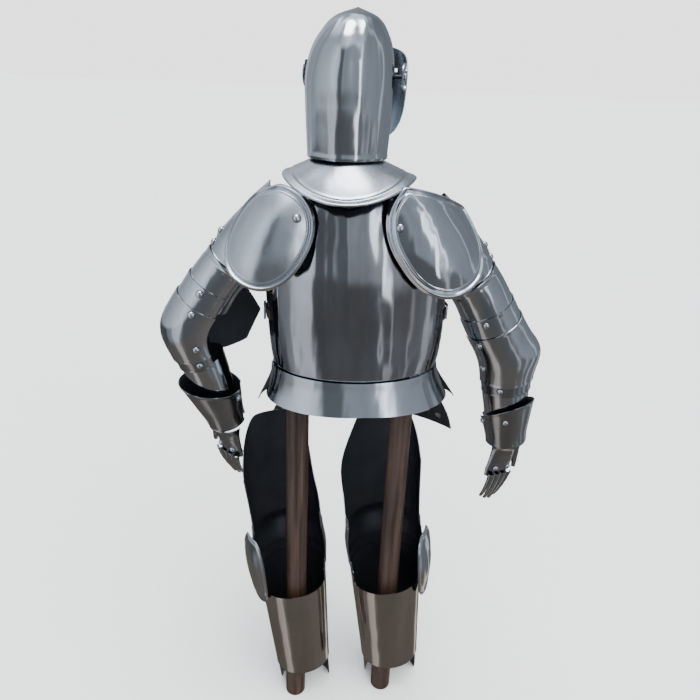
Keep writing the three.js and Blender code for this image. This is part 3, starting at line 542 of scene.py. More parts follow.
def make(name, shape, materials, node, slot="polished_steel", body="suit", move=None, merge=False):
    """One piece in a CAD node's place: one material for a plate, or one for each kind of face."""
    mesh = mesh_of(name, shape, move)
    if not isinstance(materials, tuple):
        materials = (materials, INSIDE, materials, BRIGHT)
    by_kind = [materials[min(kind, len(materials) - 1)] for kind in KINDS]
    order = list(dict.fromkeys(by_kind))
    for chosen in order:
        mesh.materials.append(chosen)
    slots = [order.index(chosen) for chosen in by_kind]
    mesh.polygons.foreach_set("material_index", [slots[kind] for kind in shape.kinds])
    mesh.polygons.foreach_set("use_smooth", [True] * len(shape.kinds))
    with editing(mesh) as work:
        work.faces.ensure_lookup_table()
        kinds = work.faces.layers.int.new("kind")
        for face, kind in zip(work.faces, shape.kinds):
            face[kinds] = kind
        if merge:
            bmesh.ops.remove_doubles(work, verts=work.verts, dist=2e-6)
            bmesh.ops.dissolve_degenerate(work, edges=work.edges, dist=1e-7)
        for edge in work.edges:
            if len(edge.link_faces) == 2:
                a, b = edge.link_faces
                folded = a[kinds] == FITTING and a.normal.angle(b.normal, 0) > SHARP_FITTING
                if folded or a[kinds] != b[kinds]:
                    edge.smooth = False
    piece = placed(name, mesh)
    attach(piece, body)
    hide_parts(node)
    return piece


def sharpen(piece):
    with editing(piece.data) as work:
        for edge in work.edges:
            if len(edge.link_faces) == 2 and edge.calc_face_angle(0) > SHARP_TURNING:
                edge.smooth = False


# Materials

class Tree:
    """Short ways to add nodes to the node tree of a material or the world."""

    def __init__(self, owner):
        owner.use_nodes = True
        self.nodes, self.links = owner.node_tree.nodes, owner.node_tree.links

    def feed(self, node, inputs):
        """Sets each input to a plain value, or joins it to another node's output."""
        for name, value in inputs.items():
            if isinstance(value, bpy.types.NodeSocket):
                self.links.new(value, node.inputs[name])
            else:
                node.inputs[name].default_value = value

    def add(self, kind, output, inputs, **settings):
        node = self.nodes.new("ShaderNode" + kind)
        for name, value in settings.items():
            setattr(node, name, value)
        self.feed(node, inputs)
        return node.outputs[output]

    def noise(self, where, scale, detail=3.0, distortion=0.0, stretch=None):
        if stretch:
            where = self.add("Mapping", "Vector", {"Vector": where, "Scale": stretch})
        inputs = {"Vector": where, "Scale": scale, "Detail": detail, "Distortion": distortion}
        return self.add("TexNoise", "Fac", inputs)

    def ramp(self, value, stops):
        colour = self.add("ValToRGB", "Color", {"Fac": value})
        elements = colour.node.color_ramp.elements
        while len(elements) < len(stops):
            elements.new(0.5)
        for element, (place, shade) in zip(elements, stops):
            element.position = place
            element.color = (*shade, 1.0)
        return colour

    def spread(self, value, low, high):
        inputs = {"Value": value, "From Min": 0.3, "From Max": 0.7, "To Min": low, "To Max": high}
        return self.add("MapRange", "Result", inputs)

    def bump(self, value, strength, distance, below=None):
        inputs = {"Height": value, "Strength": strength, "Distance": distance}
        if below:
            inputs["Normal"] = below
        return self.add("Bump", "Normal", inputs)

    def blend(self, amount, one, two):
        return self.add("Mix", 2, {"Factor": amount, 6: one, 7: two}, data_type="RGBA")


class Skin(Tree):
    """A material in the making, with the object's own coordinates."""

    def __init__(self, name):
        self.material = bpy.data.materials.new(name)
        super().__init__(self.material)
        self.where = self.add("TexCoord", "Object", {})

    def finish(self, **inputs):
        named = {name.replace("_", " "): value for name, value in inputs.items()}
        self.feed(self.nodes["Principled BSDF"], named)
        return self.material


def steel(name, tone, rough, hammer=0.5, tarnish_and_reflection_streak=0.1, stain=0.0, tint=(0.93, 1.0, 1.09)):
    """Polished sheet steel: upright streaks in its colour that are partly tarnish and partly painted
    reflection, faint stains, hammered waves and fine scratches.
    """
    skin = Skin(name)
    where = skin.where

    def shade(level):
        return tuple(min(0.95, level * part) for part in tint)

    # Upright streaks lighten and darken the base colour: partly tarnish, partly painted reflection of the
    # room's light and dark streaks.
    tarnish_and_reflection_streaks = skin.noise(where, 1.0, stretch=(14, 14, 1.1))
    blotches = skin.noise(where, 7.0, 4.0)
    stops = [(0.34, shade(tone - tarnish_and_reflection_streak)), (0.5, shade(tone)), (0.66, shade(tone + 0.7 * tarnish_and_reflection_streak))]
    tarnish_and_reflection_streaked = skin.ramp(tarnish_and_reflection_streaks, stops)
    blotchy = skin.ramp(blotches, [(0.36, shade(tone - 0.6 * tarnish_and_reflection_streak)), (0.62, shade(tone + 0.4 * tarnish_and_reflection_streak))])
    colour = skin.blend(skin.noise(where, 3.0, 2.0), tarnish_and_reflection_streaked, blotchy)
    if stain:
        spots = skin.noise(where, 1.0, 6.0, 0.3, stretch=(9, 9, 4))
        amount = skin.ramp(spots, [(0.52, (0, 0, 0)), (0.78, (stain, stain, stain))])
        brown = skin.ramp(spots, [(0.5, (0.33, 0.28, 0.25)), (0.75, (0.24, 0.18, 0.15))])
        colour = skin.blend(amount, colour, brown)
    smears = skin.noise(where, 16.0, 6.0, 0.6)
    soft = skin.noise(where, 9.0, 1.0, stretch=(3.4, 3.4, 1))
    fine = skin.noise(where, 320.0, 2.0, stretch=(1, 1, 9))
    normal = skin.bump(fine, 0.04, 0.0003, skin.bump(soft, hammer, 0.0035))
    roughness = skin.spread(smears, rough * 0.8, rough * 1.5)
    return skin.finish(Base_Color=colour, Metallic=1.0, Roughness=roughness, Normal=normal)


# Each steel's streak amount sets how strongly its colour carries painted reflection streaks along with
# tarnish.
POLISHED = steel("steel_polished", 0.60, 0.11, 0.4, stain=0.15)
HELMET = steel("steel_helmet", 0.58, 0.11, 0.75, tarnish_and_reflection_streak=0.08)
GLOSSY = steel("steel_glossy", 0.62, 0.09, 0.5, tarnish_and_reflection_streak=0.06)
SATIN = steel("steel_satin", 0.66, 0.24, 0.25, tarnish_and_reflection_streak=0.06)
MIRROR = steel("steel_mirror", 0.64, 0.11, 0.3, tarnish_and_reflection_streak=0.06)
BROWNED = steel("steel_brown_tarnish_and_reflection_streaked", 0.50, 0.10, 0.5, tarnish_and_reflection_streak=0.14, stain=0.5, tint=(0.96, 1.0, 1.08))
DARK = steel("steel_dark", 0.42, 0.17, 0.45, tarnish_and_reflection_streak=0.08, stain=0.2)
WARM = steel("steel_warm", 0.52, 0.10, 0.35, tarnish_and_reflection_streak=0.08, stain=0.3, tint=(1.03, 1.0, 0.97))
BRIGHT = steel("steel_rivet", 0.74, 0.2, 0.1, tarnish_and_reflection_streak=0.08)


def make_inside():
    """The unpolished inside of the plates: blued black from the fire, smooth and dull."""
    skin = Skin("steel_inside_black")
    scale = skin.noise(skin.where, 6.0, 4.0)
    return skin.finish(
        Base_Color=skin.ramp(scale, [(0.3, (0.030, 0.033, 0.041)), (0.7, (0.052, 0.056, 0.068))]),
        Metallic=0.7,
        Roughness=skin.spread(scale, 0.38, 0.52),
        Normal=skin.bump(skin.noise(skin.where, 14.0, 2.0), 0.15, 0.0015),
    )


def make_wood():
    """Dark stained wood with its grain along the post."""
    skin = Skin("wood_dark_stained")
    grain = skin.noise(skin.where, 1.0, 8.0, 1.4, stretch=(70, 70, 2.2))
    patches = skin.noise(skin.where, 1.0, stretch=(6, 6, 1.5))
    stops = [(0.3, (0.012, 0.007, 0.005)), (0.52, (0.040, 0.021, 0.014)), (0.75, (0.074, 0.040, 0.027))]
    one = skin.ramp(grain, stops)
    two = skin.ramp(grain, [(0.3, (0.018, 0.010, 0.008)), (0.7, (0.056, 0.033, 0.024))])
    return skin.finish(
        Base_Color=skin.blend(patches, one, two),
        Roughness=skin.spread(grain, 0.38, 0.6),
        Normal=skin.bump(grain, 0.35, 0.0008),
        Coat_Weight=0.15,
        Coat_Roughness=0.3,
    )


def make_leather():
    skin = Skin("leather_black_worn")
    cells = skin.add("TexVoronoi", "Distance", {"Vector": skin.where, "Scale": 900.0})
    wear = skin.noise(skin.where, 60.0, 6.0)
    return skin.finish(
        Base_Color=skin.ramp(wear, [(0.35, (0.012, 0.009, 0.007)), (0.7, (0.06, 0.042, 0.03))]),
        Roughness=skin.spread(wear, 0.4, 0.65),
        Normal=skin.bump(cells, 0.4, 0.0004),
    )


INSIDE = make_inside()
WOOD = make_wood()
LEATHER = make_leather()


# Helmet and visor

def head_place(points):
    return turned(points, HEAD["yaw"], HEAD["x"], HEAD["y"])


def behind_face(angle):
    """0 across the open face and 1 behind it."""
    from_front = np.minimum(angle + 90, 270 - angle)
    return ease((from_front - FACE_HALF_ANGLE) / 14)


def skull_hem(angle):
    return mix(FACE_TOP, SKULL_HEM, behind_face(angle))


def make_helmet():
    def relief(angle, z):
        crest = 2.5 * hump(angle, 90, 14) * ease((SKULL_TOP - z) / 40)
        return crest + 0.9 * hump(z - skull_hem(angle), 5, 4) * behind_face(angle)

    soft = waves(3, 7, 260, 34, 0.55)

    def ripple(u, v, points):
        angle, z = mix(-90, 270, u), points[..., 2]
        away = ease((SKULL_TOP - z) / 60) * ease((z - SKULL_HEM) / 20)
        return soft(angle * 1.6, z) * away * (1 - hump(angle, 90, 8)) * ease(3 - abs(u - 0.5) * 6)

    skull = barrel(SKULL, -90, 270, skull_hem, SKULL_TOP, relief=relief)
    shape = sheet(skull, steps(168), steps(90, 0.985, 0.995), ring=True, pole=True, ripple=ripple)
    make("helmet_skull_polished", shape, HELMET, "helmet_skull", move=head_place, merge=True)


def visor_surface(u, v):
    turn = mix(3, 177, u)
    tilt = mix(VISOR["bottom"], VISOR["top"], v)
    power = 2 / 3.4
    x = VISOR["half_width"] * np.sign(cosd(turn)) * np.abs(cosd(turn)) ** power
    chin = VISOR["chin"] * ease(-tilt / 70)
    keel = 14 * hump(x, 0, 22) * hump(tilt, -18, 34)
    r = (VISOR["radius"] + chin) * sind(turn) ** power + keel
    y = VISOR["axis_y"] - r * cosd(tilt)
    z = VISOR["axis_z"] + r * sind(tilt)
    return np.stack(np.broadcast_arrays(x, y, z), axis=-1)


def cutter(shape, move):
    """A hidden body that cuts another: its mesh only, not a piece of the scene."""
    mesh = mesh_of("cutter", shape, move)
    with editing(mesh) as work:
        bmesh.ops.recalc_face_normals(work, faces=work.faces)
    return placed("cutter", mesh)


def box_shape(centre, size):
    centre, half = np.array(centre, float), np.array(size, float) / 2
    signs = np.array([(x, y, z) for x in (-1, 1) for y in (-1, 1) for z in (-1, 1)])
    faces = [(0, 1, 3, 2), (4, 6, 7, 5), (0, 4, 5, 1), (2, 3, 7, 6), (0, 2, 6, 4), (1, 5, 7, 3)]
    return Shape().add(centre + signs * half, faces, FITTING)


def cut_through(piece, cutters):
    for i, thing in enumerate(cutters):
        change = piece.modifiers.new(f"cut_{i}", "BOOLEAN")
        change.operation = "DIFFERENCE"
        change.solver = "EXACT"
        change.object = thing
    view = bpy.context.evaluated_depsgraph_get()
    view.update()
    done = bpy.data.meshes.new_from_object(piece.evaluated_get(view))
    piece.modifiers.clear()
    piece.data = done
    for thing in cutters:
        bpy.data.objects.remove(thing, do_unlink=True)


def make_visor():
    axis_y, axis_z, half = VISOR["axis_y"], VISOR["axis_z"], VISOR["half_width"]
    shape = sheet(dict(surface=visor_surface, facing=1), steps(96), steps(40))
    # The visor's wall lies outside its surface, so the first material is the inner side's.
    materials = (SATIN, POLISHED, POLISHED, BRIGHT)
    piece = make("visor_polished", shape, materials, "visor", "dark_steel", body="visor", move=head_place)
    cutters = []
    face_y = axis_y - 100
    for side in (-1, 1):
        slit = box_shape((side * SLIT["across"], face_y, axis_z + SLIT["up"]), SLIT["size"])
        cutters.append(cutter(slit, head_place))
        for k in range(4):
            across = side * (BREATH["across"] + BREATH["apart"] * (k % 2))
            height = axis_z - BREATH["down"] - BREATH["rows"] * (k // 2)
            section = [(BREATH["radius"], -45), (BREATH["radius"], 45)]
            breath = lathe(section, 16, (across, face_y, height), (0, 1, 0))
            cutters.append(cutter(breath, head_place))
    cut_through(piece, cutters)
    lugs = Shape()
    bore, edge = LUG["inner"], LUG["outer"]
    lug = [(bore, -WALL), (edge, -WALL), (edge, -0.3), (edge - 0.8, 0.4), (edge - 3, 0.6)]
    lug += [(bore + 4, 0.6), (bore, 0.6)]
    for side in (-1, 1):
        lugs.join(lathe(lug, 32, (side * half, axis_y, axis_z), (side, 0, 0), kind=OUTER))
    sharpen(make("visor_lugs", lugs, POLISHED, "visor", "dark_steel", body="visor", move=head_place))
    shank, head, reach = BOLT["shank"], BOLT["head"], half + SEAM + 0.7
    section = [(shank, BOLT["inner"]), (shank, reach), (head, reach), (head, reach + 1.6)]
    section += [(head * 0.86, reach + 3.6), (head * 0.5, reach + 5), (0.3, reach + 5.4)]
    for side in SIDES:
        bolt = lathe(section, BOLT_SIDES, (0, axis_y, axis_z), (OUTWARD[side], 0, 0), kind=OUTER)
        # The shank, between the skull and the lug, takes the black inside material as painted shade.
        bolt.kinds[:BOLT_SIDES] = [INNER] * BOLT_SIDES
        make(f"visor_bolt_turned_{side}", bolt, (BRIGHT, INSIDE), f"visor_bolt_{side}", move=head_place)


# Gorget

def neck_place(points):
    return turned(points, NECK["yaw"], NECK["x"], NECK["y"])


def make_gorget():
    def rim(angle):
        return NECK["rim_side"] - NECK["rim_dip"] * sind(angle) ** 2

    def relief(angle, z):
        up = z - rim(angle)
        return RIM_HEIGHT * hump(up, 3.6, 3.4) - 1.3 * hump(up, 9.4, 1.8) + 0.8 * hump(up, 12.6, 1.9)

    def top(angle):
        return rim(angle) + (NECK["seat"] - rim(angle)) / SEAT_PART

    soft = waves(8, 5, 90, 70, 0.3)

    def ripple(u, v, points):
        return soft(points[..., 0], points[..., 1]) * ease((v - 0.14) / 0.1) * ease(4 * np.minimum(u, 1 - u))

    rows = np.concatenate([np.linspace(0, 0.26, 46), np.linspace(0.28, 1, 40)])
    for name, start in (("gorget_back", 0), ("gorget_front", 180)):
        cape = barrel(GORGET, start + HALF_GAP, start + 180 - HALF_GAP, rim, top, by_part=True, relief=relief)
        shape = sheet(cape, steps(84), rows, ripple=ripple)
        make(f"{name}_rolled", shape, SATIN, name, "satin_steel", move=neck_place)


# Torso

def brim(angle):
    off = np.abs((angle % 180) - 90)
    return mix(1452, 1236, ease((off - 42) / 26)) - 8 * hump(off, 0, 20)


def make_torso():
    tall = waves(21, 9, 420, 46, 0.75)

    def ripple(u, v, points):
        inside = ease((points[..., 2] - 1075) / 60) * ease(6 * np.minimum(u, 1 - u)) * ease(7 * (1 - v))
        return tall(points[..., 0], points[..., 2]) * inside

    def edge_roll(angle, z):
        return 1.6 * hump(z - brim(angle), -2, 3)

    def chest(angle, z):
        return 26 * hump(angle, 270, 34) * hump(z, 1190, 130) * ease((z - 1080) / 50) + edge_roll(angle, z)

    for name, start, relief, rows, outside in (
        ("backplate", 0, edge_roll, 90, BROWNED),
        ("breastplate", 180, chest, 70, POLISHED),
    ):
        plate = barrel(TORSO, start + HALF_GAP, start + 180 - HALF_GAP, WAIST, brim, relief=relief)
        shape = sheet(plate, steps(120), steps(rows, 0.985, 0.992), ripple=ripple)
        make(f"{name}_polished", shape, outside, name)


def corner_flare(angle, z):
    return 16 * ease((FLANGE["top"] - z) / 110) * (hump(angle, 180, 24) + hump(angle, 360, 24))


def make_flange():
    def hem(angle):
        return mix(FLANGE["back"], FLANGE["side"], np.abs(cosd(angle)))

    for name, span, low, out, relief, us, vs, outside, slot in (
        ("side", (126, 179.7), hem, LAP, None, 30, 20, DARK, "polished_steel"),
        ("back", (0.3, 135), hem, 2 * LAP, None, 90, 24, MIRROR, "satin_steel"),
        ("front", (180.3, 359.7), FLANGE["front"], LAP, corner_flare, 100, 24, POLISHED, "polished_steel"),
    ):
        plate = barrel(SKIRT, *span, low, FLANGE["top"], out=out, relief=relief)
        shape = sheet(plate, steps(us), steps(vs))
        make(f"waist_flange_{name}_plate", shape, outside, f"waist_flange_{name}", slot)


def make_tassets():
    for side in SIDES:
        outer = TASSET[side]
        inward = -OUTWARD[side]
        start, stop = sorted([outer, outer + inward * TASSET["span"]])

        def hem(angle):
            return mix(TASSET["corner"], TASSET["inner"], np.abs(angle - outer) / TASSET["span"])

        def relief(angle, z):
            return corner_flare(angle, z) + 22 * ease((FLANGE["front"] - z) / 130)

        plate = barrel(SKIRT, start, stop, hem, TASSET["high"], out=2 * LAP, relief=relief)
        shape = sheet(plate, steps(30), steps(36))
        add_rivets(shape, plate, [(outer + inward * angle, z) for angle, z in TASSET_RIVETS])
        make(f"tasset_plate_{side}", shape, POLISHED, f"tasset_{side}")


# A buckle's bars: y and z of the middle, then width and height.
BUCKLE = [
    (-11, 0, 4, 36),
    (11, 0, 4, 36),
    (0, 15.5, 26, 5),
    (0, -15.5, 26, 5),
    (0, 0, 24, 3),
]


def make_straps():
    for side in SIDES:
        middle = 0 if side == "left" else 180
        reach, thick = STRAP["reach"], STRAP["thickness"]
        out = thick + SEAM + 0.3
        band = barrel(TORSO, middle - reach, middle + reach, STRAP["low"], STRAP["high"], out=out)
        leather = sheet(band, steps(40), steps(8), wall=thick)
        half = np.array([[0.5]])
        at = band["surface"](half, half)[0, 0] + np.array([OUTWARD[side] * 2.4, 0, 0])
        make(f"strap_leather_{side}", leather, (LEATHER,), f"side_strap_{side}", "strap_leather")
        buckle = Shape()
        for y, z, wide, tall in BUCKLE:
            buckle.join(box_shape(at + np.array([0, y, z]), (5, wide, tall)))
        piece = make(f"buckle_steel_{side}", buckle, (BRIGHT,), f"side_strap_{side}")
        soften = piece.modifiers.new("soften", "BEVEL")
        soften.width = 0.0009
        soften.segments = 2


# Arms

def arm_path(side):
    """The middle of an arm by the height above its elbow, with the ways out and back there."""
    neck, shoulder, elbow, wrist = np.array(ARMS[side], float)
    upper = float(np.linalg.norm(shoulder - elbow))
    fore = float(np.linalg.norm(elbow - wrist))
    rise, over, drop = unit(shoulder - elbow), unit(neck - shoulder), unit(elbow - wrist)

    def corner(before, at, after, t):
        t = np.clip(t, 0, 1)[..., None]
        start, end = at - before * ARM_BEND, at + after * ARM_BEND
        middle = start * (1 - t) ** 2 + at * 2 * t * (1 - t) + end * t * t
        return middle, unit(before * (1 - t) + after * t)

    def read(key):
        key = np.asarray(key, float)
        k = key[..., None]
        middle = elbow + drop * k
        along = np.broadcast_to(drop, middle.shape)
        for first, (spot, way) in (
            (-ARM_BEND, corner(drop, elbow, rise, (key + ARM_BEND) / (2 * ARM_BEND))),
            (ARM_BEND, (elbow + rise * k, rise)),
            (upper - ARM_BEND, corner(rise, shoulder, over, (key - upper + ARM_BEND) / (2 * ARM_BEND))),
            (upper + ARM_BEND, (shoulder + over * (k - upper), over)),
        ):
            middle, along = np.where(k >= first, spot, middle), np.where(k >= first, way, along)
        outward = unit(OUTWARD[side] * (X_AXIS - along * along[..., :1]))
        return middle, outward, np.cross(along, outward) * OUTWARD[side]

    return read, upper, fore


def edge_rolls(low, high, amount=0.9):
    """A slight turned edge at both ends of a plate, which catches the light."""
    return lambda angle, key: amount * (hump(key, low + 1.6, 1.8) + hump(key, high - 1.6, 1.8))


def make_arm(side):
    path, upper, fore = arm_path(side)
    girth, rimmed = ARM_GIRTH[side], CUFF_RIM[side]
    opening, bulge, studs, tops = ARM_OPENING[side], COUTER_BULGE[side], ARM_RIVETS[side], ELBOW_TOP[side]
    edges, high_edges = ARM_EDGES, SHOULDER_EDGES

    def shape(key):
        beyond = 1 + (key - upper) / SHOULDER_REACH
        s = ARM(np.where(key < 0, key / fore, np.where(key < upper, key / upper, beyond)))
        return dict(a=s["a"] * girth, b=s["b"] * girth, x=s["x"] * girth)

    def cuff_shape(key):
        wrist, s = CUFF(0), CUFF(key + fore)
        return {name: mix(wrist[name], s[name], rimmed["flare"]) * girth for name in ("a", "b")}

    def lame_shape(key):
        s = shape(key)
        narrow = mix(2.8, 0, ease((key - upper - high_edges["upper_arm"]) / 18))
        return dict(a=s["a"] - narrow, b=s["b"] - narrow, x=s["x"])

    def plate(name, span, low, high, us=60, vs=24, outside=POLISHED, rivets=(), section=shape, **more):
        body = barrel(section, *span, low, high, side=OUTWARD[side], path=path, **more)
        made = sheet(body, steps(us), steps(vs))
        add_rivets(made, body, rivets)
        slot = "dark_steel" if name == "gauntlet_cuff" else "polished_steel"
        make(f"{name}_plate_{side}", made, outside, f"{name}_{side}", slot)

    def cap_end(angle):
        return upper + SHOULDER_REACH + 26 * hump(angle, 0, 45)

    def cap_relief(angle, key):
        return 1.2 * hump(key, upper + 40, 2) + 1.2 * hump(key, cap_end(angle) - 2, 2.5)

    def upper_relief(angle, key):
        return 1.5 * hump(key, upper + 10, 3.5) - 0.5 * hump(key, upper + 3, 2)

    def cop_relief(angle, key):
        rolls = edge_rolls(edges["cop"], tops["cop"])
        return bulge * hump(angle, 0, 62) * hump(key, -6, 34) + rolls(angle, key)

    def cuff_top(angle):
        return rimmed["height"] - fore + rimmed["wave"] * cosd(angle - rimmed["highest"])

    def cuff_relief(angle, key):
        return 1.5 * hump(key, cuff_top(angle) - 2, 3) + 0.6 * hump(key, 4 - fore, 2.5)

    plate("shoulder_cap", (-90, 90), upper + high_edges["cap"], cap_end, vs=48, out=LAP,
          rivets=[(6, upper + 50)], relief=cap_relief)
    low, high = high_edges["lame"]
    plate("shoulder_lame", (-108, 108), upper + low, upper + high, section=lame_shape,
          rivets=[(6, upper + 24)])
    plate("upper_arm", opening["upper"], edges["upper_arm"], upper + high_edges["upper_arm"], us=72, vs=48,
          relief=upper_relief)
    plate("elbow_upper_lame", opening["elbow"], edges["upper_lame"], tops["lame"], vs=30, out=LAP,
          rivets=studs["lame"], relief=edge_rolls(edges["upper_lame"], tops["lame"]))
    plate("elbow_cop", opening["elbow"], edges["cop"], tops["cop"], vs=52, out=2 * LAP, rivets=studs["cop"],
          relief=cop_relief)
    plate("elbow_lower_lame", opening["elbow"], *edges["lower_lame"], outside=DARK, out=LAP,
          rivets=studs["lower"], relief=edge_rolls(*edges["lower_lame"], 0.8))
    plate("forearm", opening["fore"], 8 - fore, edges["forearm"], us=72, vs=40)
    plate("gauntlet_cuff", opening["cuff"], -fore, cuff_top, us=72, vs=48, outside=DARK, section=cuff_shape,
          rivets=[(angle, height - fore) for angle, height in studs["cuff"]], relief=cuff_relief)
    make_hand(side, path(np.array(-fore))[0])
    make_dishes(side)


def make_hand(side, wrist):
    knuckle, turn = np.array(HANDS[side]["knuckle"], float), HANDS[side]["turn"]
    along = unit(wrist - knuckle)
    outward = np.array([OUTWARD[side] * cosd(turn), sind(turn), 0.0])
    outward = unit(outward - along * np.dot(outward, along))
    back = np.cross(along, outward) * OUTWARD[side]

    def path(key):
        middle = wrist + along * np.asarray(key, float)[..., None]
        return middle, np.broadcast_to(outward, middle.shape), np.broadcast_to(back, middle.shape)

    def lames(angle, key):
        return 0.7 * (1 - ((key + 92) / 24.5) % 1.0) * ease((-4 - key) / 8) - 0.7

    def thumb_shape(key):
        t = np.clip((-16 - key) / 80, 0, 1)
        return dict(a=mix(11, 7, t), b=mix(12, 7, t), x=mix(7, 2, t), y=-mix(36, 54, t))

    def thumb_scales(angle, key):
        return 0.7 * (((key + 96) / 27) % 1.0 - 1)

    hand = dict(side=OUTWARD[side], path=path)
    plate = barrel(HAND, -84, 84, -92, 4, relief=lames, **hand)
    shape = sheet(plate, steps(48), steps(72))
    add_rivets(shape, plate, [(-30, -82), (30, -82)])
    thumb = barrel(thumb_shape, -96, 96, -96, -16, relief=thumb_scales, **hand)
    shape.join(sheet(thumb, steps(20), steps(48), wall=FINGER["wall"]))
    make(f"hand_plates_{side}", shape, DARK, f"hand_plate_{side}", "dark_steel")
    strip = barrel(HAND, -84, 84, -112, -84, out=-LAP, **hand)
    fingers = sheet(strip, steps(40), steps(8), wall=FINGER["wall"])
    for k in range(4):
        across = FINGER["pitch"] * (k - 1.5)
        length = FINGER["length"] - 10 * abs(k - 1.3)

        def curl(key, across=across, length=length):
            t = np.clip((-100 - key) / length, 0, 1)
            x, y = mix(13, 6, t) - 14 * t * t, across * mix(1, 0.8, t)
            return dict(a=mix(9, 6, t), b=mix(9.6, 6, t), x=x, y=y)

        def scales(angle, key, length=length):
            return 0.8 * (((key + 100 + length) / (length / 4)) % 1.0 - 1)

        finger = barrel(curl, -96, 96, -100 - length, -100, relief=scales, **hand)
        fingers.join(sheet(finger, steps(18), steps(56), wall=FINGER["wall"]))
    make(f"finger_scales_{side}", fingers, DARK, f"fingers_{side}", "dark_steel")


# Dished plates

def tongue(size):
    """An outline by direction: a rounded box, cut off straight in the named directions."""
    power = 2.3
    width, length = size["width"], size["length"]

    def outline(angle):
        flat = np.abs(cosd(angle) / (width / 2)) ** power + np.abs(sind(angle) / (length / 2)) ** power
        reach = flat ** (-1 / power)
        for direction, distance in size["cuts"]:
            away = cosd(angle - direction)
            reach = np.where(away > 0.05, np.minimum(reach, distance / np.maximum(away, 0.05)), reach)
        return reach

    return outline


def dish(size, crown, relief, bend, rings, sectors, ripple):
    """A dished plate in its own plane, its relief from the middle to the rim by a function."""
    outline = tongue(size)

    def top(r, angle):
        reach = outline(angle)
        x, y = r * cosd(angle) * reach, r * sind(angle) * reach
        fall = (2 * x / size["width"]) ** 2 + (2 * y / size["length"]) ** 2
        z = crown * (1 - fall) + relief(r) - bend * x * x
        z = z + ripple(x, y) * ease((0.82 - r) / 0.2)
        return np.stack(np.broadcast_arrays(x, y, z), axis=-1)

    angles = np.arange(sectors) * (360.0 / sectors)
    grid_r, grid_a = np.meshgrid(rings, angles, indexing="ij")
    outer = top(grid_r, grid_a)
    e = 1e-3
    across = top(grid_r + e, grid_a) - top(grid_r - e, grid_a)
    round_way = top(grid_r, grid_a + 0.2) - top(grid_r, grid_a - 0.2)
    inner = outer - unit(np.cross(across, round_way)) * WALL
    centre = top(np.array(0.0), np.array(0.0))
    points = np.concatenate([outer.reshape(-1, 3), [centre], inner.reshape(-1, 3), [centre - Z_AXIS * WALL]])
    m, n = len(rings), sectors
    layer = m * n + 1
    faces, kinds = [], []
    for i in range(n):
        j = (i + 1) % n
        faces += [(m * n, i, j), (layer + m * n, layer + j, layer + i)]
        kinds += [OUTER, INNER]
        for k in range(m - 1):
            a, b, c, d = k * n + i, (k + 1) * n + i, (k + 1) * n + j, k * n + j
            faces += [(a, b, c, d), (a + layer, d + layer, c + layer, b + layer)]
            kinds += [OUTER, INNER]
        a, b = (m - 1) * n + i, (m - 1) * n + j
        faces.append((a, a + layer, b + layer, b))
        kinds.append(RIM)
    return Shape().add(points, faces, kinds), top


def make_dish(name, side, size, place, outside, seed, slot, crown, rim, bend=0.0, rivets=(), to_world=None):
    outline = tongue(size)

    def relief(r):
        return rim * (hump(r, 0.96, 0.032) - 0.34 * hump(r, 0.9, 0.017) + 0.2 * hump(r, 0.862, 0.017))

    rings = np.concatenate([np.linspace(0.06, 0.8, 17), np.linspace(0.815, 1.0, 30)])
    shape, top = dish(size, crown, relief, bend, rings, 128, waves(seed, 6, 150, 52, 0.6))
    for x, y in rivets:
        angle = math.degrees(math.atan2(y, x))
        r = math.hypot(x, y) / float(outline(np.array(angle)))
        at = top(np.array(r), np.array(angle))
        lean = (2 * bend * x + 8 * crown * x / size["width"] ** 2, 8 * crown * y / size["length"] ** 2, 1.0)
        shape.join(rivet(at, unit(np.array(lean))))
    axes, centre = facing(place)

    def move(points):
        world = points @ axes + centre
        return to_world(world) if to_world else world

    make(f"{name}_plate_{side}", shape, outside, f"{name}_{side}", slot, move=move)


def make_dishes(side):
    size = PAULDRON[side]
    sign = OUTWARD[side]
    outside = SATIN if side == "left" else GLOSSY
    dome = dict(slot="satin_steel", crown=26, rim=RIM_HEIGHT, bend=0.0022)
    make_dish("shoulder_back", side, size, size, outside, 31 + sign, rivets=[size["rivet"]], **dome)
    x, y, z = size["at"]
    front = dict(size, at=(x + sign * 6, -y, z - 40), azimuth=180 - size["azimuth"], turn=-size["turn"])
    front["cuts"] = [(180 - direction, distance) for direction, distance in size["cuts"]]
    make_dish("shoulder_front", side, front, front, SATIN, 41 + sign, **dome)
    wing = ELBOW_WING[side]
    make_dish("elbow_wing", side, wing, wing, DARK, 51 + sign, "dark_steel", crown=14, rim=0.8)


# Legs

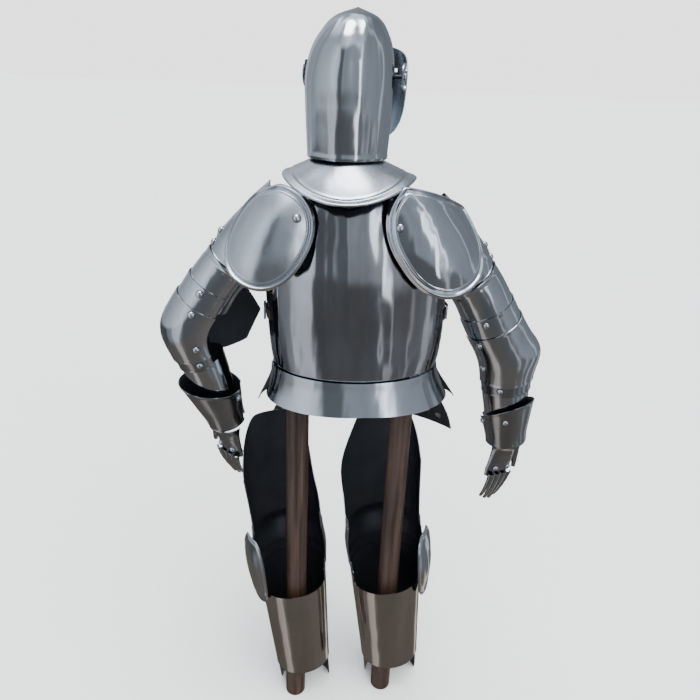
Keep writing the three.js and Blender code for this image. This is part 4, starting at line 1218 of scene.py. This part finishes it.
def make_leg(side):
    girth, sign = LEG_GIRTH[side], OUTWARD[side]

    def shape(z):
        s = SHIN(z)
        swell = THIGH_SWELL[side] * hump(z, 720, 75)
        return dict(a=s["a"] * girth + swell, b=s["b"] * girth, x=-swell)

    def from_front(angle):
        return np.abs(angle + 90)

    def hem(angle):
        off = from_front(angle)
        arch = 46 * (1 - ease((off - 22) / 22)) + 95 * ease((off - 82) / 20)
        slope = sign * math.tan(math.radians(LEG["lean"])) * cosd(angle)
        return arch + slope * shape(0)["a"] + SEAM

    def place(points):
        return leaning(points, side)

    def plate(name, low, high, us=60, vs=40, span=FRONT_SPAN, outside=DARK, slot="dark_steel", **more):
        made = sheet(barrel(shape, *span, low, high, side=sign, **more), steps(us), steps(vs))
        make(f"{name}_plate_{side}", made, outside, f"{name}_{side}", slot, move=place)

    def knee_relief(angle, z):
        return 26 * hump(angle, -90, 44) * hump(z, 512, 34)

    def thigh_top(angle):
        inner, outer = THIGH_TOP[side]["inner"], THIGH_TOP[side]["outer"]
        fall, start, reach = (np.where(angle < -90, one, two) for one, two in zip(inner, outer))
        return LEG_EDGES["thigh_top"] - fall * ease((from_front(angle) - start) / reach)

    plate("shin", hem, LEG_EDGES["shin"], vs=48)
    plate("calf", *LEG_EDGES["calf"], us=72, span=CALF_SPAN, outside=WARM, slot="polished_steel", out=LAP,
          relief=edge_rolls(*LEG_EDGES["calf"], 0.5))
    plate("knee_lame", *LEG_EDGES["lame"], vs=12, out=LAP)
    plate("knee_cop", *LEG_EDGES["cop"], vs=44, out=2 * LAP, relief=knee_relief)
    plate("thigh", LEG_EDGES["thigh"], thigh_top, vs=56, out=LAP)
    outward, y, z = KNEE_WING[side]
    wing = dict(at=(sign * outward, y, z), azimuth=sign * KNEE_WING["azimuth"], lift=0, turn=0)
    make_dish("knee_wing", side, KNEE_WING, wing, POLISHED, 61 + sign, "polished_steel", crown=16, rim=3,
              to_world=place)


# Stand

def make_stand():
    radius, edge = POST["radius"], POST["edge"]
    for side in SIDES:
        top = 1000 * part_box(f"post_{side}")[1][2] - SHIFT[2]
        section = [(radius - edge, 0), (radius, edge)]
        section += [(radius, edge + (top - 2 * edge) * k / 12) for k in range(1, 13)]
        section.append((radius - edge, top))
        centre = (OUTWARD[side] * POST["spread"], POST["y"], 0)
        shape = lathe(section, 48, centre, Z_AXIS, kind=OUTER)
        sharpen(make(f"post_turned_{side}", shape, (WOOD,), f"post_{side}", "stained_wood"))
    for name in ("hip_board", "chest_upright", "shoulder_bar", "neck_block", "head_block"):
        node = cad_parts[name]
        node.data.materials.clear()
        node.data.materials.append(WOOD)


# Camera

def make_camera():
    azimuth, pitch, roll = (math.radians(CAMERA[name]) for name in ("azimuth", "pitch", "roll"))
    level = np.array([-math.sin(azimuth), -math.cos(azimuth), 0.0])
    flat_right = np.cross(level, Z_AXIS)
    forward = level * math.cos(pitch) - Z_AXIS * math.sin(pitch)
    flat_up = np.cross(flat_right, forward)
    right = flat_right * math.cos(roll) + flat_up * math.sin(roll)
    up = flat_up * math.cos(roll) - flat_right * math.sin(roll)
    at = -level * CAMERA["distance"] + Z_AXIS * CAMERA["height"] + flat_right * CAMERA["lateral"]
    data = bpy.data.cameras.new("photo_camera")
    data.sensor_width = 36
    data.lens = data.sensor_width * CAMERA["focal"] / PICTURE
    data.clip_start = 0.02
    camera = placed("photo_camera", data)
    turn = Matrix([(right[i], up[i], -forward[i]) for i in range(3)]).to_4x4()
    camera.matrix_world = Matrix.Translation(Vector(in_metres(at))) @ turn
    bpy.context.scene.camera = camera


# Floor and light

# The studio round the suit, as the polished steel mirrors it: brightness by azimuth, where 0 is
# behind the suit and 90 is to the wearer's left, in bands of height.
ROOM_SCALE = 10.0
ROOM_WALL = [
    (-180, 0.40), (-157, 0.30), (-142, 0.24), (-112, 0.28), (-99, 0.34), (-97, 0.75), (-93, 0.75),
    (-91, 0.32), (-67, 0.38), (-52, 0.42), (-38, 0.5), (-35, 1.7), (-31, 1.7), (-29, 0.48), (-7, 0.36),
    (7, 0.42), (12, 0.16), (30, 0.16), (36, 0.9), (53, 1.2), (68, 0.95), (98, 0.65), (128, 0.45),
    (143, 0.5), (158, 0.8), (180, 0.4),
]
ROOM_LOW = [
    (-180, 0.14), (-125, 0.16), (-122, 0.8), (-117, 0.8), (-114, 0.2), (-88, 0.2), (-85, 0.6),
    (-80, 0.6), (-77, 0.2), (-62, 0.22), (-59, 0.5), (-56, 0.5), (-53, 0.2), (-36, 0.18), (-34, 0.6),
    (-31, 0.6), (-29, 0.15), (0, 0.13), (34, 0.13), (40, 0.3), (43, 0.95), (68, 0.8), (72, 0.34),
    (88, 0.3), (98, 0.1), (165, 0.12), (180, 0.14),
]
ROOM_GROUND = [
    (-180, 0.12), (-134, 0.13), (-131, 0.8), (-118, 0.8), (-115, 0.16), (-60, 0.17), (-20, 0.14),
    (30, 0.14), (41, 0.24), (45, 0.62), (70, 0.5), (76, 0.16), (150, 0.12), (180, 0.12),
]
ROOM_HIGH = [
    (-180, 1.6), (-142, 1.2), (-120, 0.6), (-80, 0.5), (-50, 0.65), (-25, 1.0), (-5, 1.4), (20, 1.0),
    (68, 0.6), (100, 0.6), (128, 1.6), (150, 2.6), (180, 1.6),
]
WALL_TINT = (0.92, 1.0, 1.10)
LOW_TINT = (0.97, 1.0, 1.05)
GROUND_TINT = (1.12, 1.0, 0.9)
# What the camera sees round the suit, beyond the floor
PALE = (0.93, 0.93, 0.925)
PALE_LIGHT = 2.55
FLOOR = dict(half_size=150.0, below=0.0005, colour=(0.86, 0.86, 0.855, 1))
SKY = dict(energy=5.0, angle=70, way=(0.35, -0.7, -1.3))
# In metres, azimuth as above
CARD = dict(azimuth=-25, distance=1.3, low=0.9, high=2.3, width=0.17, radiance=2.2, colour=(0.93, 0.97, 1.0))


def make_world():
    world = bpy.data.worlds.new("studio")
    bpy.context.scene.world = world
    sky = Tree(world)
    parts = sky.add("SeparateXYZ", "X", {"Vector": sky.add("TexCoord", "Generated", {})}).node.outputs
    turn = sky.add("Math", 0, {0: parts["X"], 1: parts["Y"]}, operation="ARCTAN2")
    share = sky.add("Math", 0, {0: turn, 1: 2 * math.pi}, operation="DIVIDE")
    part = sky.add("Math", 0, {0: share, 1: 0.5}, operation="ADD")

    def band(table, tint):
        stops = []
        for azimuth, level in table:
            stops.append((azimuth / 360 + 0.5, [level * c / ROOM_SCALE for c in tint]))
        return sky.ramp(part, stops)

    def rise(start, stop):
        """From 0 to 1 between two angles over the horizon."""
        low, high = (math.sin(math.radians(angle)) for angle in (start, stop))
        inputs = {"Value": parts["Z"], "From Min": low, "From Max": high}
        return sky.add("MapRange", "Result", inputs, interpolation_type="SMOOTHSTEP")

    room = band(ROOM_GROUND, GROUND_TINT)
    for start, stop, table, tint in (
        (-42, -34, ROOM_LOW, LOW_TINT),
        (-14, -8, ROOM_WALL, WALL_TINT),
        (46, 56, ROOM_HIGH, WALL_TINT),
    ):
        room = sky.blend(rise(start, stop), room, band(table, tint))
    room = sky.blend(rise(70, 77), room, (1, 1, 1, 1))
    seen = sky.nodes["Background"]
    sky.feed(seen, {"Color": room, "Strength": ROOM_SCALE})
    plain = sky.add("Background", 0, {"Color": (*PALE, 1), "Strength": PALE_LIGHT})
    to_camera = sky.add("LightPath", "Is Camera Ray", {})
    chosen = sky.add("MixShader", 0, {"Fac": to_camera, 1: seen.outputs[0], 2: plain})
    sky.feed(sky.nodes["World Output"], {"Surface": chosen})


def make_floor():
    half = FLOOR["half_size"]
    mesh = bpy.data.meshes.new("floor")
    corners = [(-half, -half, 0), (half, -half, 0), (half, half, 0), (-half, half, 0)]
    mesh.from_pydata(corners, [], [(0, 1, 2, 3)])
    floor = placed("floor", mesh)
    floor.location.z = -FLOOR["below"]
    floor.visible_glossy = False
    surface = Skin("floor_pale")
    mesh.materials.append(surface.finish(Base_Color=FLOOR["colour"], Roughness=1.0, Specular_IOR_Level=0.0))


def make_light():
    """The soft light from above, and one upright card that the steel mirrors."""
    data = bpy.data.lights.new("sky_soft", "SUN")
    data.energy = SKY["energy"]
    data.angle = math.radians(SKY["angle"])
    lamp = placed("sky_soft", data)
    lamp.rotation_euler = Vector(SKY["way"]).to_track_quat("-Z", "Y").to_euler()
    lamp.visible_glossy = False
    tall = CARD["high"] - CARD["low"]
    azimuth, away = math.radians(CARD["azimuth"]), CARD["distance"]
    data = bpy.data.lights.new("card_right", "AREA")
    data.shape = "RECTANGLE"
    data.size, data.size_y = CARD["width"], tall
    data.energy = CARD["radiance"] * math.pi * CARD["width"] * tall
    data.color = CARD["colour"]
    lamp = placed("card_right", data)
    at = Vector((away * math.sin(azimuth), away * math.cos(azimuth), (CARD["low"] + CARD["high"]) / 2))
    lamp.rotation_euler = (Vector((0, 0, at.z)) - at).to_track_quat("-Z", "Y").to_euler()
    lamp.location = at
    lamp.visible_camera = False


make_helmet()
make_visor()
make_gorget()
make_torso()
make_flange()
make_straps()
make_tassets()
for one_side in SIDES:
    make_arm(one_side)
    make_leg(one_side)
make_stand()
make_camera()
make_floor()
make_world()
make_light()
